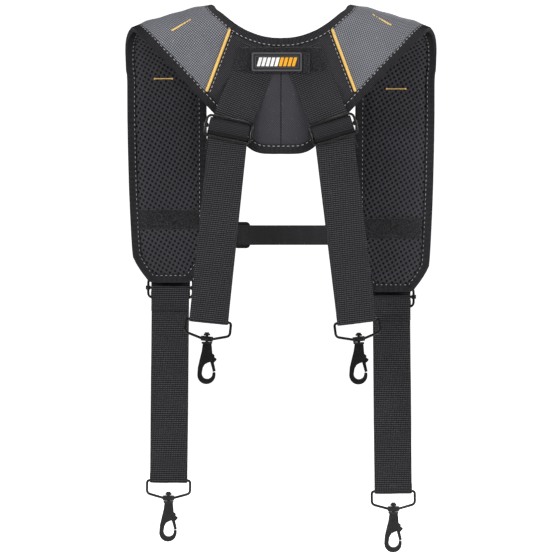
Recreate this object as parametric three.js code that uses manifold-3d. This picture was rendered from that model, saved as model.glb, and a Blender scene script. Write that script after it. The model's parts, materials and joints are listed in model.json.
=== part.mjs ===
// Padded suspenders for a carpenter's tool belt, in millimetres.
// A yoke pad lies on the wearer's back, two padded fronts hang over the shoulders, and four doubled
// webbing straps, each with a slide adjuster and a swivel trigger hook, carry the belt.
// Frame: +Z up, +X to the wearer's right, -Y behind the wearer. The origin lies midway between the two
// shoulder saddles, at the height of their undersides.
import * as THREE from "three";
import { mergeVertices } from "three/addons/utils/BufferGeometryUtils.js";
import Module from "manifold-3d";

const wasm = await Module();
wasm.setup();
const deg = THREE.MathUtils.degToRad;
const vec = (x, y, z) => new THREE.Vector3(x, y, z);

// ---------------------------------------------------------------- driving dimensions
const GAP = 0.3; // clearance between pieces that touch

const saddle = { x: 137, radius: 46, slope: deg(15.9) }; // a shoulder arch, and its fall outwards
const pad = { outer: 5, inner: 5.5, edge: 2.5 }; // above and below the middle surface, and at its edge
const binding = { thick: 1.9, half: 3.2, seam: 1.2 }; // the seam keeps the foam off the tape
const lining = { thick: 1.5, inset: 15, gap: 1.6 }; // the gap lets the skin turn over the arch
const yoke = { neck: -19.6, tail: -163.5 }; // heights of the yoke's edges in the centre plane
const front = { // the places across of its edges and its middle, and the heights of its bottoms
  inner: saddle.x - 41,
  outer: saddle.x + 61,
  middle: saddle.x + 6,
  bottom: { left: -324, right: -336 },
};

const webbing = { width: 48.5, thick: 1.6, ramp: [20, 60] }; // it rises off the pad over the ramp
const wireRadius = 1.75;
const slider = { halfHeight: 13, corner: 6, side: 1.9, eyeWall: 0.8, eyeHeight: 5.2, travel: 120 };
const loop = { frontTail: 14, backTail: 30, spare: 5, lap: 20 }; // webbing sewn round the adjuster's bar
const bail = { side: 1.8, height: 18, sag: 4.5, shoulder: 3.2, foot: 5 };
const boss = { width: 15, depth: 9.2, top: -19.6, height: 6, corner: 3 };
const stem = { radius: 1.8, play: 0.9, head: 4.1, headHeight: 2.4, cap: 2.8, capHeight: 1.6 };
const collar = { radius: 6.7, height: 2.4 };
const hook = { thick: 6.4, slot: 3.9 };
const gate = { thick: 2.2, x: 0.3, z: -38, hub: 2.5, reach: 26.8, pin: 1, rivet: 1.9, rivetHeight: 0.7 };
const spring = { radius: 1.8, wire: 0.2, turns: 1.25, rise: 0.48 };

const chest = { width: 25.4, thick: 1.6, above: 61.5, clear: 4, start: -14 };
const buckle = { mouth: -61, socket: 31, plug: 21, half: 17, thick: 9, wall: 1.6, bar: 1.6, slot: 4.5 };
const keeper = { width: 25.5, thick: 1.4, half: { left: 36, right: 33 }, above: { left: 81, right: 82 } };
const tape = { top: -31, bottom: -61, halfTop: 51, halfBottom: 58, thick: 1.3 };
const flap = { left: -37, hinge: 33, bottom: -63.5, height: 25, thick: 1.6, roll: 2.6 };
const label = { left: -36.5, right: 26.3, bottom: -62.3, height: 24, thick: 2.2 };

// The four straps: the adjuster's bar, the lean down to the hook's bail, the length down to it, how far the
// adjuster is cocked, and the lean and length of the webbing sewn to the pad above it.
const straps = [
  { name: "back_left", x: -64.6, z: -134, lean: 6, run: 238, cock: 6, band: 22, up: 108, rear: true },
  { name: "back_right", x: 64.6, z: -134, lean: -7, run: 239, cock: -10, band: -22, up: 108, rear: true },
  { name: "front_left", x: -front.middle, z: front.bottom.left - 6.5, lean: -0.5, run: 249, cock: 0,
    band: 0, up: 240, rear: false },
  { name: "front_right", x: front.middle, z: front.bottom.right - 6.5, lean: 0.5, run: 251, cock: 0,
    band: 0, up: 240, rear: false },
];

// ---------------------------------------------------------------- colours
const cloth = (color, roughness = 0.9) => new THREE.MeshStandardMaterial({ color, roughness });
const blackCloth = cloth(0x1c1b1e);
const meshCloth = cloth(0x2a2a2d);
const blackTape = cloth(0x151416);
const fuzzyTape = cloth(0x201f21, 1);
const rubber = cloth(0x222226, 0.6);
const plastic = cloth(0x131315, 0.45);
const blackSteel = new THREE.MeshStandardMaterial({ color: 0x0c0c0e, roughness: 0.3, metalness: 0.7 });
const springSteel = new THREE.MeshStandardMaterial({ color: 0x8a8a8c, roughness: 0.35, metalness: 1 });

const suspenders = new THREE.Group();

function piece(name, geometry, material, parent = suspenders) {
  const mesh = new THREE.Mesh(geometry, material);
  mesh.name = name;
  parent.add(mesh);
  return mesh;
}

function group(parent, position, turns = [0, 0, 0]) {
  const g = new THREE.Group();
  g.position.copy(position);
  g.rotation.set(...turns);
  parent.add(g);
  return g;
}

// ---------------------------------------------------------------- solids
// A geometry with shared corners and its faces turned outwards.
function facingOut(geometry) {
  const bare = new THREE.BufferGeometry().setAttribute("position", geometry.getAttribute("position"));
  const g = mergeVertices(bare.setIndex(geometry.index), 1e-3);
  const p = g.getAttribute("position");
  const index = [...g.index.array];
  const corner = (i) => vec(0, 0, 0).fromBufferAttribute(p, index[i]);
  let volume = 0;
  for (let i = 0; i < index.length; i += 3) volume += corner(i).dot(corner(i + 1).cross(corner(i + 2)));
  return volume < 0 ? g.setIndex(index.reverse()) : g;
}

// A closed solid through cross-sections of equal point count: capped at both ends, or joined end to start.
function loft(sections, joined = false) {
  const n = sections[0].length;
  const rows = sections.length;
  const index = [];
  for (let i = 0; i < (joined ? rows : rows - 1); i++) {
    const next = ((i + 1) % rows) * n;
    for (let j = 0; j < n; j++) {
      const k = (j + 1) % n;
      index.push(i * n + j, i * n + k, next + k, i * n + j, next + k, next + j);
    }
  }
  const end = (rows - 1) * n;
  for (let j = 1; j < n - 1 && !joined; j++) index.push(0, j + 1, j, end, end + j, end + j + 1);
  return facingOut(new THREE.BufferGeometry().setFromPoints(sections.flat()).setIndex(index));
}

// Points of an arc from one angle to another, in degrees.
function arc(cx, cy, radius, from, to, steps) {
  return Array.from({ length: steps + 1 }, (_, i) => {
    const a = deg(from + ((to - from) * i) / steps);
    return new THREE.Vector2(cx + radius * Math.cos(a), cy + radius * Math.sin(a));
  });
}

function roundedRectangle(halfWidth, halfHeight, corner, steps) {
  const [w, h] = [halfWidth - corner, halfHeight - corner];
  const at = [[w, h], [-w, h], [-w, -h], [w, -h]];
  return at.flatMap(([x, y], i) => arc(x, y, corner, 90 * i, 90 * (i + 1), steps));
}

// A closed loop of round wire, lying in an x-z plane.
function wireLoop(outline, radius, sides = 8) {
  const n = outline.length;
  const sections = outline.map((p, i) => {
    const along = outline[(i + 1) % n].clone().sub(outline[(i + n - 1) % n]).normalize();
    return arc(0, 0, radius, 22.5, 382.5 - 360 / sides, sides - 1).map((q) =>
      vec(p.x + q.x * along.y, q.y, p.y - q.x * along.x));
  });
  return loft(sections, true);
}

// An outline in x and y made solid from z0 to z1.
function upright(outline, z0, z1, ...holes) {
  const shape = new THREE.Shape(outline);
  shape.holes = holes.map((h) => new THREE.Path(h));
  const g = new THREE.ExtrudeGeometry(shape, { depth: z1 - z0, bevelEnabled: false });
  return facingOut(g.translate(0, 0, z0));
}

// An outline in x and z made solid from y0 to y1.
const facing = (outline, y0, y1, ...holes) =>
  facingOut(upright(outline, -y1, -y0, ...holes).rotateX(Math.PI / 2));

// An outline in y and z made solid across x, from -half to half.
const crosswise = (outline, half, ...holes) =>
  facingOut(upright(outline, -half, half, ...holes).rotateX(Math.PI / 2).rotateZ(Math.PI / 2));

// A strip of even thickness along an open line, as a closed outline.
function strip(line, thick) {
  const sides = [1, -1].map((side) => line.map((p, i) => {
    const along = line[Math.min(i + 1, line.length - 1)].clone().sub(line[Math.max(i - 1, 0)]).normalize();
    return p.clone().add(new THREE.Vector2(-along.y, along.x).multiplyScalar((side * thick) / 2));
  }));
  return [...sides[0], ...sides[1].reverse()];
}

const block = (x0, x1, y0, y1, z0, z1) =>
  new THREE.BoxGeometry(x1 - x0, y1 - y0, z1 - z0).translate((x0 + x1) / 2, (y0 + y1) / 2, (z0 + z1) / 2);

// Rods along each axis, centred on a point.
const rod = (radius, length, sides = 12) => new THREE.CylinderGeometry(radius, radius, length, sides);
const rodX = (radius, length, at) => rod(radius, length, 8).rotateZ(Math.PI / 2).translate(...at);
const rodY = (radius, length, at) => rod(radius, length).translate(...at);
const rodZ = (radius, length, at) => rod(radius, length).rotateX(Math.PI / 2).translate(...at);

function solid(geometry) {
  const g = facingOut(geometry);
  return new wasm.Manifold(new wasm.Mesh({
    numProp: 3,
    vertProperties: g.getAttribute("position").array,
    triVerts: new Uint32Array(g.index.array),
  }));
}
const join = (...geometries) => geometries.map(solid).reduce((a, b) => a.add(b));
const cut = (whole, ...tools) => tools.map(solid).reduce((a, b) => a.subtract(b), whole);

function shown(made) {
  const m = made.getMesh();
  return new THREE.BufferGeometry()
    .setAttribute("position", new THREE.BufferAttribute(new Float32Array(m.vertProperties), 3))
    .setIndex(new THREE.BufferAttribute(new Uint32Array(m.triVerts), 1));
}

// ---------------------------------------------------------------- the padded sheet
// One side of the pads is drawn flat: s runs outwards along the shoulder line, and t up the back, over the
// arch, which lies between 0 and turn, and down the front.
const turn = Math.PI * saddle.radius;
const crest = turn / 2;
const [sin, cos] = [Math.sin(saddle.slope), Math.cos(saddle.slope)];
const skin = saddle.radius + pad.outer; // how far the cover lies from the arch's axis
const underside = saddle.radius - pad.inner - lining.thick - lining.gap;
const axisHeight = -underside;

function flat(x, z) {
  const [dx, dz] = [x - saddle.x, z - axisHeight];
  return new THREE.Vector2(dx * cos - dz * sin, dx * sin + dz * cos);
}
const onArch = (s, t) => new THREE.Vector2(s, t);
// The point of the back that is seen at x and z from behind.
function onBack(x, z) {
  const p = flat(x, z);
  return p.y > 0 ? onArch(p.x, saddle.radius * Math.asin(p.y / skin)) : p;
}
function onFront(x, z) {
  const p = flat(x, z);
  return onArch(p.x, turn - p.y);
}

// The place of a flat point at a height above the middle surface. Side is 1 on the right, -1 on the left.
function placed(p, height, side) {
  const r = saddle.radius + height;
  const angle = THREE.MathUtils.clamp(p.y / saddle.radius, 0, Math.PI);
  const rise = p.y < 0 ? p.y : p.y > turn ? turn - p.y : r * Math.sin(angle);
  const x = side * (saddle.x + p.x * cos + rise * sin);
  return vec(x, -r * Math.cos(angle), axisHeight - p.x * sin + rise * cos);
}

// Pairs of points on the inner and the outer edge, from the centre of the yoke to the top of the arch.
const yokeEdges = [
  [onBack(0, yoke.neck), onBack(0, yoke.tail)],
  [onBack(13, yoke.neck + 0.7), onBack(14, yoke.tail)],
  [onBack(26, yoke.neck + 3.3), onBack(26, yoke.tail + 1)],
  [onBack(38, yoke.neck + 7.6), onBack(38, yoke.tail + 6)],
  [onBack(47, yoke.neck + 12.1), onBack(54, yoke.tail + 20.5)],
  [onBack(saddle.x - 80, yoke.neck + 19), onBack(saddle.x - 53, yoke.tail + 51)],
  [onBack(saddle.x - 71, yoke.neck + 26.6), onBack(saddle.x - 25, yoke.tail + 81)],
  [onBack(saddle.x - 63, yoke.neck + 34.1), onBack(saddle.x + 1, yoke.tail + 108.8)],
  [onBack(saddle.x - 56, yoke.neck + 40.2), onBack(saddle.x + 23, yoke.tail + 132.3)],
  [onArch(-68, 55), onArch(34, 42)],
  [onArch(-64, crest - GAP / 2), onArch(42, crest - GAP / 2)],
];

// The same from the top of the arch down a front, whose bottom corners are rounded off.
const frontTop = -62;
const frontCorner = [[42, 48.5], [29, 45.5], [17, 38.5], [8, 32], [1.5, 26], [0, 18]];
function frontEdges(bottom) {
  // A straight run between the arch and the corners, a little narrower at its lower end.
  const run = [0, 0.22, 0.47, 0.72].map((share) => {
    const z = THREE.MathUtils.lerp(frontTop, bottom + frontCorner[0][0], share);
    return [onFront(front.inner - share, z), onFront(front.outer - 6 * share * share, z)];
  });
  return [
    [onArch(-64, crest + GAP / 2), onArch(42, crest + GAP / 2)],
    [onArch(-56, 104), onArch(54, 104)],
    [onArch(-47, 137), onArch(63, 137)],
    ...run,
    ...frontCorner.map(([up, half]) =>
      [onFront(front.middle - half, bottom + up), onFront(front.middle + half, bottom + up)]),
  ];
}

// Smooth inner and outer lines through the pairs, and the same lines drawn in square to themselves.
const smooth = (pairs) =>
  [0, 1].map((k) => new THREE.SplineCurve(pairs.map((pair) => pair[k])).getPoints((pairs.length - 1) * 2));
const straightUp = new THREE.Vector2(-sin, cos);
const alongCrest = new THREE.Vector2(-1, 0);
function drawnIn(lines, distance, atStart, atEnd) {
  return lines.map((line, k) => line.map((p, i) => {
    const along = line[Math.min(i + 1, line.length - 1)].clone().sub(line[Math.max(i - 1, 0)]).normalize();
    const square = new THREE.Vector2(-along.y, along.x);
    const left = (i === 0 && atStart) || (i === line.length - 1 && atEnd) || square;
    return p.clone().addScaledVector(left, k ? distance : -distance);
  }));
}

// Cross-sections along one side, or along both sides of the yoke from left to right.
const oneSide = (items, side, section) => items.map((item) => section(item, side));
const bothSides = (items, section) =>
  [...oneSide(items.slice(1).reverse(), -1, section), ...oneSide(items, 1, section)];

// A section of the foam and its cover: thin at the bound edges and full between them.
const crown = [[0, 0], [0.05, 0.55], [0.14, 1], [0.5, 1], [0.86, 1], [0.95, 0.55], [1, 0]];
function foamSection([inner, outer], side) {
  const at = ([share, full], height) => {
    const rise = THREE.MathUtils.lerp(pad.edge, Math.abs(height), full);
    return placed(inner.clone().lerp(outer, share), Math.sign(height) * rise, side);
  };
  return [...crown.map((c) => at(c, pad.outer)), ...crown.map((c) => at(c, -pad.inner)).reverse()];
}
// A section of the skin under the foam.
function liningSection([inner, outer], side) {
  const shares = [0, 0.33, 0.67, 1];
  const at = (share, depth) =>
    placed(inner.clone().lerp(outer, share), -pad.inner - lining.gap - depth, side);
  return [...shares.map((c) => at(c, 0)), ...shares.map((c) => at(c, lining.thick)).reverse()];
}
// A section of the tape bound round an edge.
const bindingSection = ([edge, inside], side) => [
  placed(edge, binding.half, side), placed(edge, -binding.half, side),
  placed(inside, -binding.half, side), placed(inside, binding.half, side),
];
const paired = ([a, b]) => a.map((p, i) => [p, b[i]]);

// ---------------------------------------------------------------- yoke
const yokeLines = smooth(yokeEdges);
const core = binding.thick + binding.seam;
const yokeInset = (distance) => drawnIn(yokeLines, distance, straightUp, alongCrest);
piece("yoke_pad", loft(bothSides(paired(yokeInset(core)), foamSection)), blackCloth);
piece("yoke_lining", loft(bothSides(paired(yokeInset(lining.inset)), liningSection)), meshCloth);
yokeInset(binding.thick).forEach((inside, k) => {
  const name = ["yoke_neck_binding", "yoke_tail_binding"][k];
  piece(name, loft(bothSides(paired([yokeLines[k], inside]), bindingSection)), blackTape);
});

// ---------------------------------------------------------------- fronts
for (const [name, side] of [["left", -1], ["right", 1]]) {
  const bottom = front.bottom[name];
  const lines = smooth(frontEdges(bottom));
  const inset = (distance) => drawnIn(lines, distance, alongCrest);
  piece(`front_${name}_pad`, loft(oneSide(paired(inset(core)), side, foamSection)), blackCloth);
  piece(`front_${name}_lining`, loft(oneSide(paired(inset(lining.inset)), side, liningSection)), meshCloth);
  const inside = inset(binding.thick);
  const round = ([a, b]) => [...a, ...b.slice().reverse()];
  const edge = paired([round(lines), round(inside)]);
  piece(`front_${name}_binding`, loft(oneSide(edge, side, bindingSection)), blackTape);

  // The band sewn across the lining.
  const [x, y] = [side * front.middle, underside - GAP];
  const foot = bottom + keeper.above[name] - keeper.width / 2;
  const across = keeper.half[name];
  const band = block(x - across, x + across, y - keeper.thick, y, foot, foot + keeper.width);
  piece(`keeper_${name}`, band, blackTape);
}

// ---------------------------------------------------------------- hanger and label
const onSkin = -skin - GAP; // the first layer sewn to the yoke's cover: the two webbing bands
const onBands = onSkin - webbing.thick - GAP;
const tapeOutline = [[-tape.halfTop, tape.top], [tape.halfTop, tape.top], [tape.halfBottom, tape.bottom],
  [-tape.halfBottom, tape.bottom]].map(([x, z]) => new THREE.Vector2(x, z));
piece("hanger_tape", facing(tapeOutline, onBands - tape.thick, onBands), fuzzyTape);
const onTape = onBands - tape.thick - GAP;
const rollY = onTape - flap.roll;
const flapPlan = [
  ...arc(flap.hinge, rollY, flap.roll, 90, -90, 8),
  new THREE.Vector2(flap.hinge - 4, onTape - flap.thick),
  new THREE.Vector2(flap.left, onTape - flap.thick),
  new THREE.Vector2(flap.left, onTape),
];
piece("hanger_flap", upright(flapPlan, flap.bottom, flap.bottom + flap.height), fuzzyTape);
const onFlap = onTape - flap.thick - GAP;
const labelCentre = new THREE.Vector2((label.left + label.right) / 2, label.bottom + label.height / 2);
const labelShape = roundedRectangle((label.right - label.left) / 2, label.height / 2, 2.5, 3)
  .map((p) => p.add(labelCentre));
piece("label_patch", facing(labelShape, onFlap - label.thick, onFlap), rubber);

// ---------------------------------------------------------------- chest strap
const chestY = skin + GAP + chest.thick / 2; // middle of the strap
const chestZ = front.bottom.left + chest.above;
const chestEnd = front.middle - webbing.width / 2 - chest.clear; // beside the webbing sewn down each front
const chestHalf = chest.width / 2;
const chestBlock = (x0, x1) => block(x0, x1, chestY - chest.thick / 2, chestY + chest.thick / 2,
  chestZ - chestHalf, chestZ + chestHalf);
piece("chest_strap", chestBlock(chest.start, chestEnd), blackTape);
const socketEnd = buckle.mouth - buckle.socket;
piece("chest_anchor", chestBlock(-chestEnd, socketEnd + buckle.slot), blackTape);

// The socket: a flat sleeve with a slot behind it for the anchor and an open mouth.
const buckleSolid = (x0, x1, half, depth, corner) => {
  const outline = roundedRectangle((x1 - x0) / 2, half, corner, 3)
    .map((p) => new THREE.Vector2(p.x + (x0 + x1) / 2, p.y + chestZ));
  return facing(outline, chestY - depth / 2, chestY + depth / 2);
};
const sleeve = buckleSolid(socketEnd, buckle.mouth, buckle.half, buckle.thick, 4);
const mouth = { half: buckle.half - buckle.wall, thick: buckle.thick - 2 * buckle.wall };
const hollow = block(socketEnd + 9, buckle.mouth + 1, chestY - mouth.thick / 2, chestY + mouth.thick / 2,
  chestZ - mouth.half, chestZ + mouth.half);
const anchorSlot = block(socketEnd - 1, socketEnd + buckle.slot + GAP, chestY - chest.thick / 2 - GAP,
  chestY + chest.thick / 2 + GAP, chestZ - chestHalf - GAP, chestZ + chestHalf + GAP);
const window = (side) => block(socketEnd + 12, socketEnd + 24, chestY - 2, chestY + 2,
  chestZ + side * buckle.half - 4, chestZ + side * buckle.half + 4);
piece("buckle_socket", shown(cut(join(sleeve), hollow, anchorSlot, window(1), window(-1))), plastic);

// The plug: a base with a bar for the strap, and two prongs and a guide that enter the socket.
const plugStart = buckle.mouth + GAP;
const base = buckleSolid(plugStart, plugStart + buckle.plug, buckle.half, buckle.thick, 5);
const prong = (side) => {
  const z = chestZ + side * (mouth.half - 3);
  return block(plugStart - 20, plugStart + 2, chestY - 2, chestY + 2, z - 2, z + 2);
};
const guide = block(plugStart - 18, plugStart + 2, chestY - 1.5, chestY + 1.5, chestZ - 2.5, chestZ + 2.5);
const strapSlot = (x) =>
  block(x, x + buckle.slot, chestY - 9, chestY + 9, chestZ - chestHalf, chestZ + chestHalf);
piece("buckle_plug", shown(cut(join(base, prong(1), prong(-1), guide),
  strapSlot(plugStart + 5), strapSlot(plugStart + 5 + buckle.slot + 2 * buckle.bar))), plastic);

// ---------------------------------------------------------------- straps
const half = webbing.width / 2;
const [thick, ring] = [webbing.thick, wireRadius + GAP + webbing.thick / 2];
const barY = 2 * thick + 2 * GAP + wireRadius; // the bar and the bail lie behind two layers of webbing
const frameY = -GAP - wireRadius;
const skinY = barY + wireRadius + 2 * GAP + thick; // the pad's cover behind the adjuster
const eyeRadius = wireRadius + GAP + slider.eyeWall;
const frameHalf = half + slider.side + eyeRadius;

// The webbing sewn to the pad: flat on the cover, then out over the adjuster and down in front of the loop.
function sewnWebbing(strap, tail) {
  const [band, lean] = [deg(strap.band), deg(strap.lean)];
  const onPad = skinY - GAP - thick;
  const stations = [
    [strap.up, band, band, onPad], [webbing.ramp[1], band, band, onPad],
    [(webbing.ramp[0] + webbing.ramp[1]) / 2, band, band, onPad / 2], [webbing.ramp[0], band, band, 0],
    [0, band, (band + lean) / 2, 0], [-webbing.ramp[0], lean, lean, 0], [-tail, lean, lean, 0],
  ];
  const inward = strap.rear ? -Math.sign(strap.x) : 0;
  const midPlane = Math.abs(strap.x) - GAP / 2;
  return loft(stations.map(([up, line, square, y]) => {
    const centre = vec(Math.sin(line) * up, 0, Math.cos(line) * up);
    const point = (side, depth) => {
      const x = centre.x + side * half * Math.cos(square);
      const kept = inward * x > midPlane && inward ? inward * midPlane : x;
      return vec(kept, y + depth, centre.z - side * half * Math.sin(square));
    };
    return [point(-1, 0), point(1, 0), point(1, thick), point(-1, thick)];
  }));
}

// A run of webbing round a wire whose middle is at a height, from one tail to the other.
function loopedWebbing(height, frontTail, backTail, over) {
  const bend = over ? arc(barY, height, ring, 180, 0, 6) : arc(barY, height, ring, 180, 360, 6);
  const [front, back] = [new THREE.Vector2(barY - ring, frontTail), new THREE.Vector2(barY + ring, backTail)];
  return crosswise(strip([front, ...bend, back], thick), half);
}

// The adjuster's bar, with an eye at each end round the frame's side.
function sliderBar() {
  const eye = (side) => {
    const x = side * frameHalf;
    const outline = [...arc(x, frameY, eyeRadius, 180, 360, 6), ...arc(x, barY, eyeRadius, 0, 180, 6)];
    return upright(outline, -slider.eyeHeight / 2, slider.eyeHeight / 2);
  };
  const bore = (side) => rodZ(wireRadius + GAP, slider.eyeHeight + 2, [side * frameHalf, frameY, 0]);
  const rod = rodX(wireRadius, 2 * frameHalf, [0, barY, 0]);
  return shown(cut(join(rod, eye(1), eye(-1)), bore(1), bore(-1)));
}

// The bail: a wire loop whose lower side sags to a boss that the hook turns in.
function bailGeometry() {
  const width = half + bail.side + wireRadius;
  const [top, foot] = [bail.shoulder, bail.foot];
  const side = [...arc(width - top, -top, top, 90, 0, 3),
    ...arc(width - foot, foot - bail.height, foot, 0, -75, 3),
    new THREE.Vector2(boss.width / 2, -bail.height - bail.sag)];
  const outline = [...side, ...side.map((p) => new THREE.Vector2(-p.x, p.y)).reverse()];
  const body = upright(roundedRectangle(boss.width / 2, boss.depth / 2, boss.corner, 3),
    boss.top - boss.height, boss.top);
  const bore = rodZ(stem.radius + stem.play, boss.height + 8, [0, 0, boss.top - boss.height / 2]);
  return shown(cut(join(wireLoop(outline, wireRadius), body), bore));
}

// The hook: a casting with a throat, whose stem is riveted over on the boss.
const collarTop = boss.top - boss.height - stem.play;
const bodyTop = collarTop - collar.height;
function hookGeometry() {
  const points = (list) => list.map(([x, z]) => new THREE.Vector2(x, z));
  const outline = [
    ...points([[-5.1, bodyTop + 0.2], [-6.4, -38], [-8.9, -48], [-11.2, -58]]),
    ...arc(-0.6, -67.7, 11.3, 180, 360, 10),
    ...points([[10.5, -64.3], [7.1, -64.3]]),
    ...arc(0.3, -66, 6.6, 360, 180, 7),
    ...points([[-5.2, -59], [-2.6, -54.6], [1, -52.6], [4.2, -51.6], [6.9, -49.5], [7, -44], [6.2, -34],
      [5.7, bodyTop + 0.2]]),
  ];
  const headTop = boss.top + stem.play + stem.headHeight;
  const cast = join(
    facing(outline, -hook.thick / 2, hook.thick / 2),
    rodZ(collar.radius, collar.height, [0, 0, bodyTop + collar.height / 2]),
    rodZ(stem.radius, headTop - bodyTop, [0, 0, (headTop + bodyTop) / 2]),
    rodZ(stem.head, stem.headHeight, [0, 0, headTop - stem.headHeight / 2]),
    rodZ(stem.cap, stem.capHeight, [0, 0, headTop + stem.capHeight / 2]),
  );
  const slot = block(gate.x - 3.9, 20, -hook.slot / 2, hook.slot / 2, gate.z - 20, gate.z + 3.6);
  return shown(cut(cast, slot, rodY(gate.pin + GAP, 20, [gate.x, 0, gate.z])));
}

// The gate, drawn about its pin: a hub, a thumb nub outside the hook and a bar that closes the throat.
function gateGeometry() {
  const points = (list) => list.map(([x, z]) => new THREE.Vector2(x, z));
  const outline = [
    ...arc(0, 0, gate.hub, 40, 215, 7),
    ...points([[3.4, -12]]),
    ...arc(0, 0, gate.reach, -74.4, -66.6, 2),
    ...points([[8.4, -14.4], [11.4, -11.6], [11.9, -9.6], [9, -7.6], [9.3, -5.4], [8.2, -4], [5.4, -2.2]]),
  ];
  const y0 = GAP / 2 - hook.slot / 2;
  return facing(outline, y0, y0 + gate.thick, arc(0, 0, gate.pin + GAP, 0, 330, 11));
}

function pinGeometry() {
  const end = hook.thick / 2 + GAP + gate.rivetHeight / 2;
  return shown(join(rodY(gate.pin, hook.thick + 2 * GAP + 0.2, [0, 0, 0]),
    rodY(gate.rivet, gate.rivetHeight, [0, end, 0]), rodY(gate.rivet, gate.rivetHeight, [0, -end, 0])));
}

// A coil round the pin, beside the gate, with a leg at each end.
function springGeometry() {
  const steps = 14;
  const start = GAP / 2 - hook.slot / 2 + gate.thick + GAP + spring.wire;
  const path = Array.from({ length: steps + 1 }, (_, i) => {
    const a = (2 * Math.PI * spring.turns * i) / steps;
    const y = start + (spring.rise * spring.turns * i) / steps;
    return vec(spring.radius * Math.cos(a), y, spring.radius * Math.sin(a));
  });
  const leg = path[0].clone().add(vec(0.4, 0, -4));
  const shape = new THREE.Shape(arc(0, 0, spring.wire, 0, 300, 5));
  const curve = new THREE.CatmullRomCurve3([leg, ...path]);
  const wire = { steps: 20, bevelEnabled: false, extrudePath: curve };
  return facingOut(new THREE.ExtrudeGeometry(shape, wire));
}

for (const strap of straps) {
  const { name } = strap;
  const facingBack = strap.rear ? 0 : Math.PI;
  const depth = (skin + skinY) * (strap.rear ? -1 : 1);
  const place = group(suspenders, vec(strap.x, depth, strap.z), [0, 0, facingBack]);
  const down = group(place, vec(0, 0, 0), [0, deg(strap.lean), 0]);
  const cocked = group(down, vec(0, 0, 0), [0, deg(strap.cock), 0]);
  const legTop = loop.frontTail + slider.travel / 2 + loop.spare;
  const upper = sewnWebbing(strap, legTop + slider.travel / 2 + loop.lap);
  piece(`${name}_webbing_upper`, upper, blackTape, place);

  const frame = wireLoop(roundedRectangle(frameHalf, slider.halfHeight, slider.corner, 4), wireRadius);
  piece(`${name}_slider_frame`, frame, blackSteel, cocked).position.y = frameY;
  piece(`${name}_slider_bar`, sliderBar(), blackSteel, cocked);
  const folded = loopedWebbing(0, -loop.frontTail, -loop.backTail, true);
  piece(`${name}_webbing_return`, folded, blackTape, cocked);

  const backTop = loop.backTail + slider.travel / 2 + loop.spare;
  piece(`${name}_webbing_lower`, loopedWebbing(-strap.run, -legTop, -backTop, false), blackTape, down);
  const hanging = group(down, vec(0, barY, -strap.run));
  piece(`${name}_bail`, bailGeometry(), blackSteel, hanging);

  // The hook hangs straight down from the leaning bail, its thumb nub to the right.
  const bossMiddle = boss.top - boss.height / 2;
  const plumb = group(hanging, vec(0, 0, bossMiddle), [0, -deg(strap.lean), facingBack]);
  const swivel = group(plumb, vec(0, 0, -bossMiddle));
  piece(`${name}_hook_body`, hookGeometry(), blackSteel, swivel);
  const pinned = group(swivel, vec(gate.x, 0, gate.z));
  piece(`${name}_gate`, gateGeometry(), blackSteel, pinned);
  piece(`${name}_gate_pin`, pinGeometry(), blackSteel, pinned);
  piece(`${name}_gate_spring`, springGeometry(), springSteel, pinned);
}

export default suspenders;
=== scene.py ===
# Padded suspenders for a tool belt: a yoke pad on the back, two padded fronts, and four webbing
# straps with slide adjusters and swivel trigger hooks. Lengths are in metres, in the CAD frame.
import json
import math

import bmesh
import bpy
import numpy as np
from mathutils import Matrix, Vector


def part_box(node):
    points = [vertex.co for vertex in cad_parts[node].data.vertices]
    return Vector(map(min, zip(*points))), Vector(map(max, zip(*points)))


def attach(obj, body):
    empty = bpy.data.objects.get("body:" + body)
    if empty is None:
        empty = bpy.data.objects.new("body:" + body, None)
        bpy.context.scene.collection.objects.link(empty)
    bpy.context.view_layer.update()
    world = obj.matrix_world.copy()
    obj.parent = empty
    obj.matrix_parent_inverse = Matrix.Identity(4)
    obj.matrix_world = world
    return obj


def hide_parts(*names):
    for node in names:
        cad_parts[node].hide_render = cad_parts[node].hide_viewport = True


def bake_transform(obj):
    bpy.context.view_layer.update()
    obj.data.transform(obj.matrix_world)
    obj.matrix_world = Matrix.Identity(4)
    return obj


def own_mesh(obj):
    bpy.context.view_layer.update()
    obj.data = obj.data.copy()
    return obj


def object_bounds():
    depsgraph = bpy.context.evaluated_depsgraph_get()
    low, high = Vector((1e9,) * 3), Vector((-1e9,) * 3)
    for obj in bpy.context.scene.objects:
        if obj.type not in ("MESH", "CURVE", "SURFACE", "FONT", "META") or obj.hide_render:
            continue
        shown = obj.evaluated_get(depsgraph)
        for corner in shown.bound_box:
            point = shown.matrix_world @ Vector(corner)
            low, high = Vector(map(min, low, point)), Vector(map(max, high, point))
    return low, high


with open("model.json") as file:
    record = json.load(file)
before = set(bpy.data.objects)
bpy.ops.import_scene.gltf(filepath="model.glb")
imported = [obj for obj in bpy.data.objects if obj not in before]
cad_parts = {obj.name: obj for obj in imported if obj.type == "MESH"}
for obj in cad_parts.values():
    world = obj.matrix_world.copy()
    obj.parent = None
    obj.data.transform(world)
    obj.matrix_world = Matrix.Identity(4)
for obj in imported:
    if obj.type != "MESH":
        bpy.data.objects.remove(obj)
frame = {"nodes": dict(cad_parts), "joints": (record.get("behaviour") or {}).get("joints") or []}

cad_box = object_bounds()

# ---------------------------------------------------------------- camera and studio
# The suspenders hang straight and are seen from behind the wearer, from far off with a long lens.
# A pale sweep stands behind and below them, and large soft lights give the black parts their edges.
camera = bpy.data.objects.new("camera", bpy.data.cameras.new("camera"))
camera.data.lens, camera.data.sensor_width = 134.25, 36
camera.location, camera.rotation_euler = (-0.0012, -2.645, -0.3205), (math.pi / 2, 0, 0)
bpy.context.collection.objects.link(camera)
bpy.context.scene.camera = camera
bpy.context.scene.view_settings.view_transform = "Standard"


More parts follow.
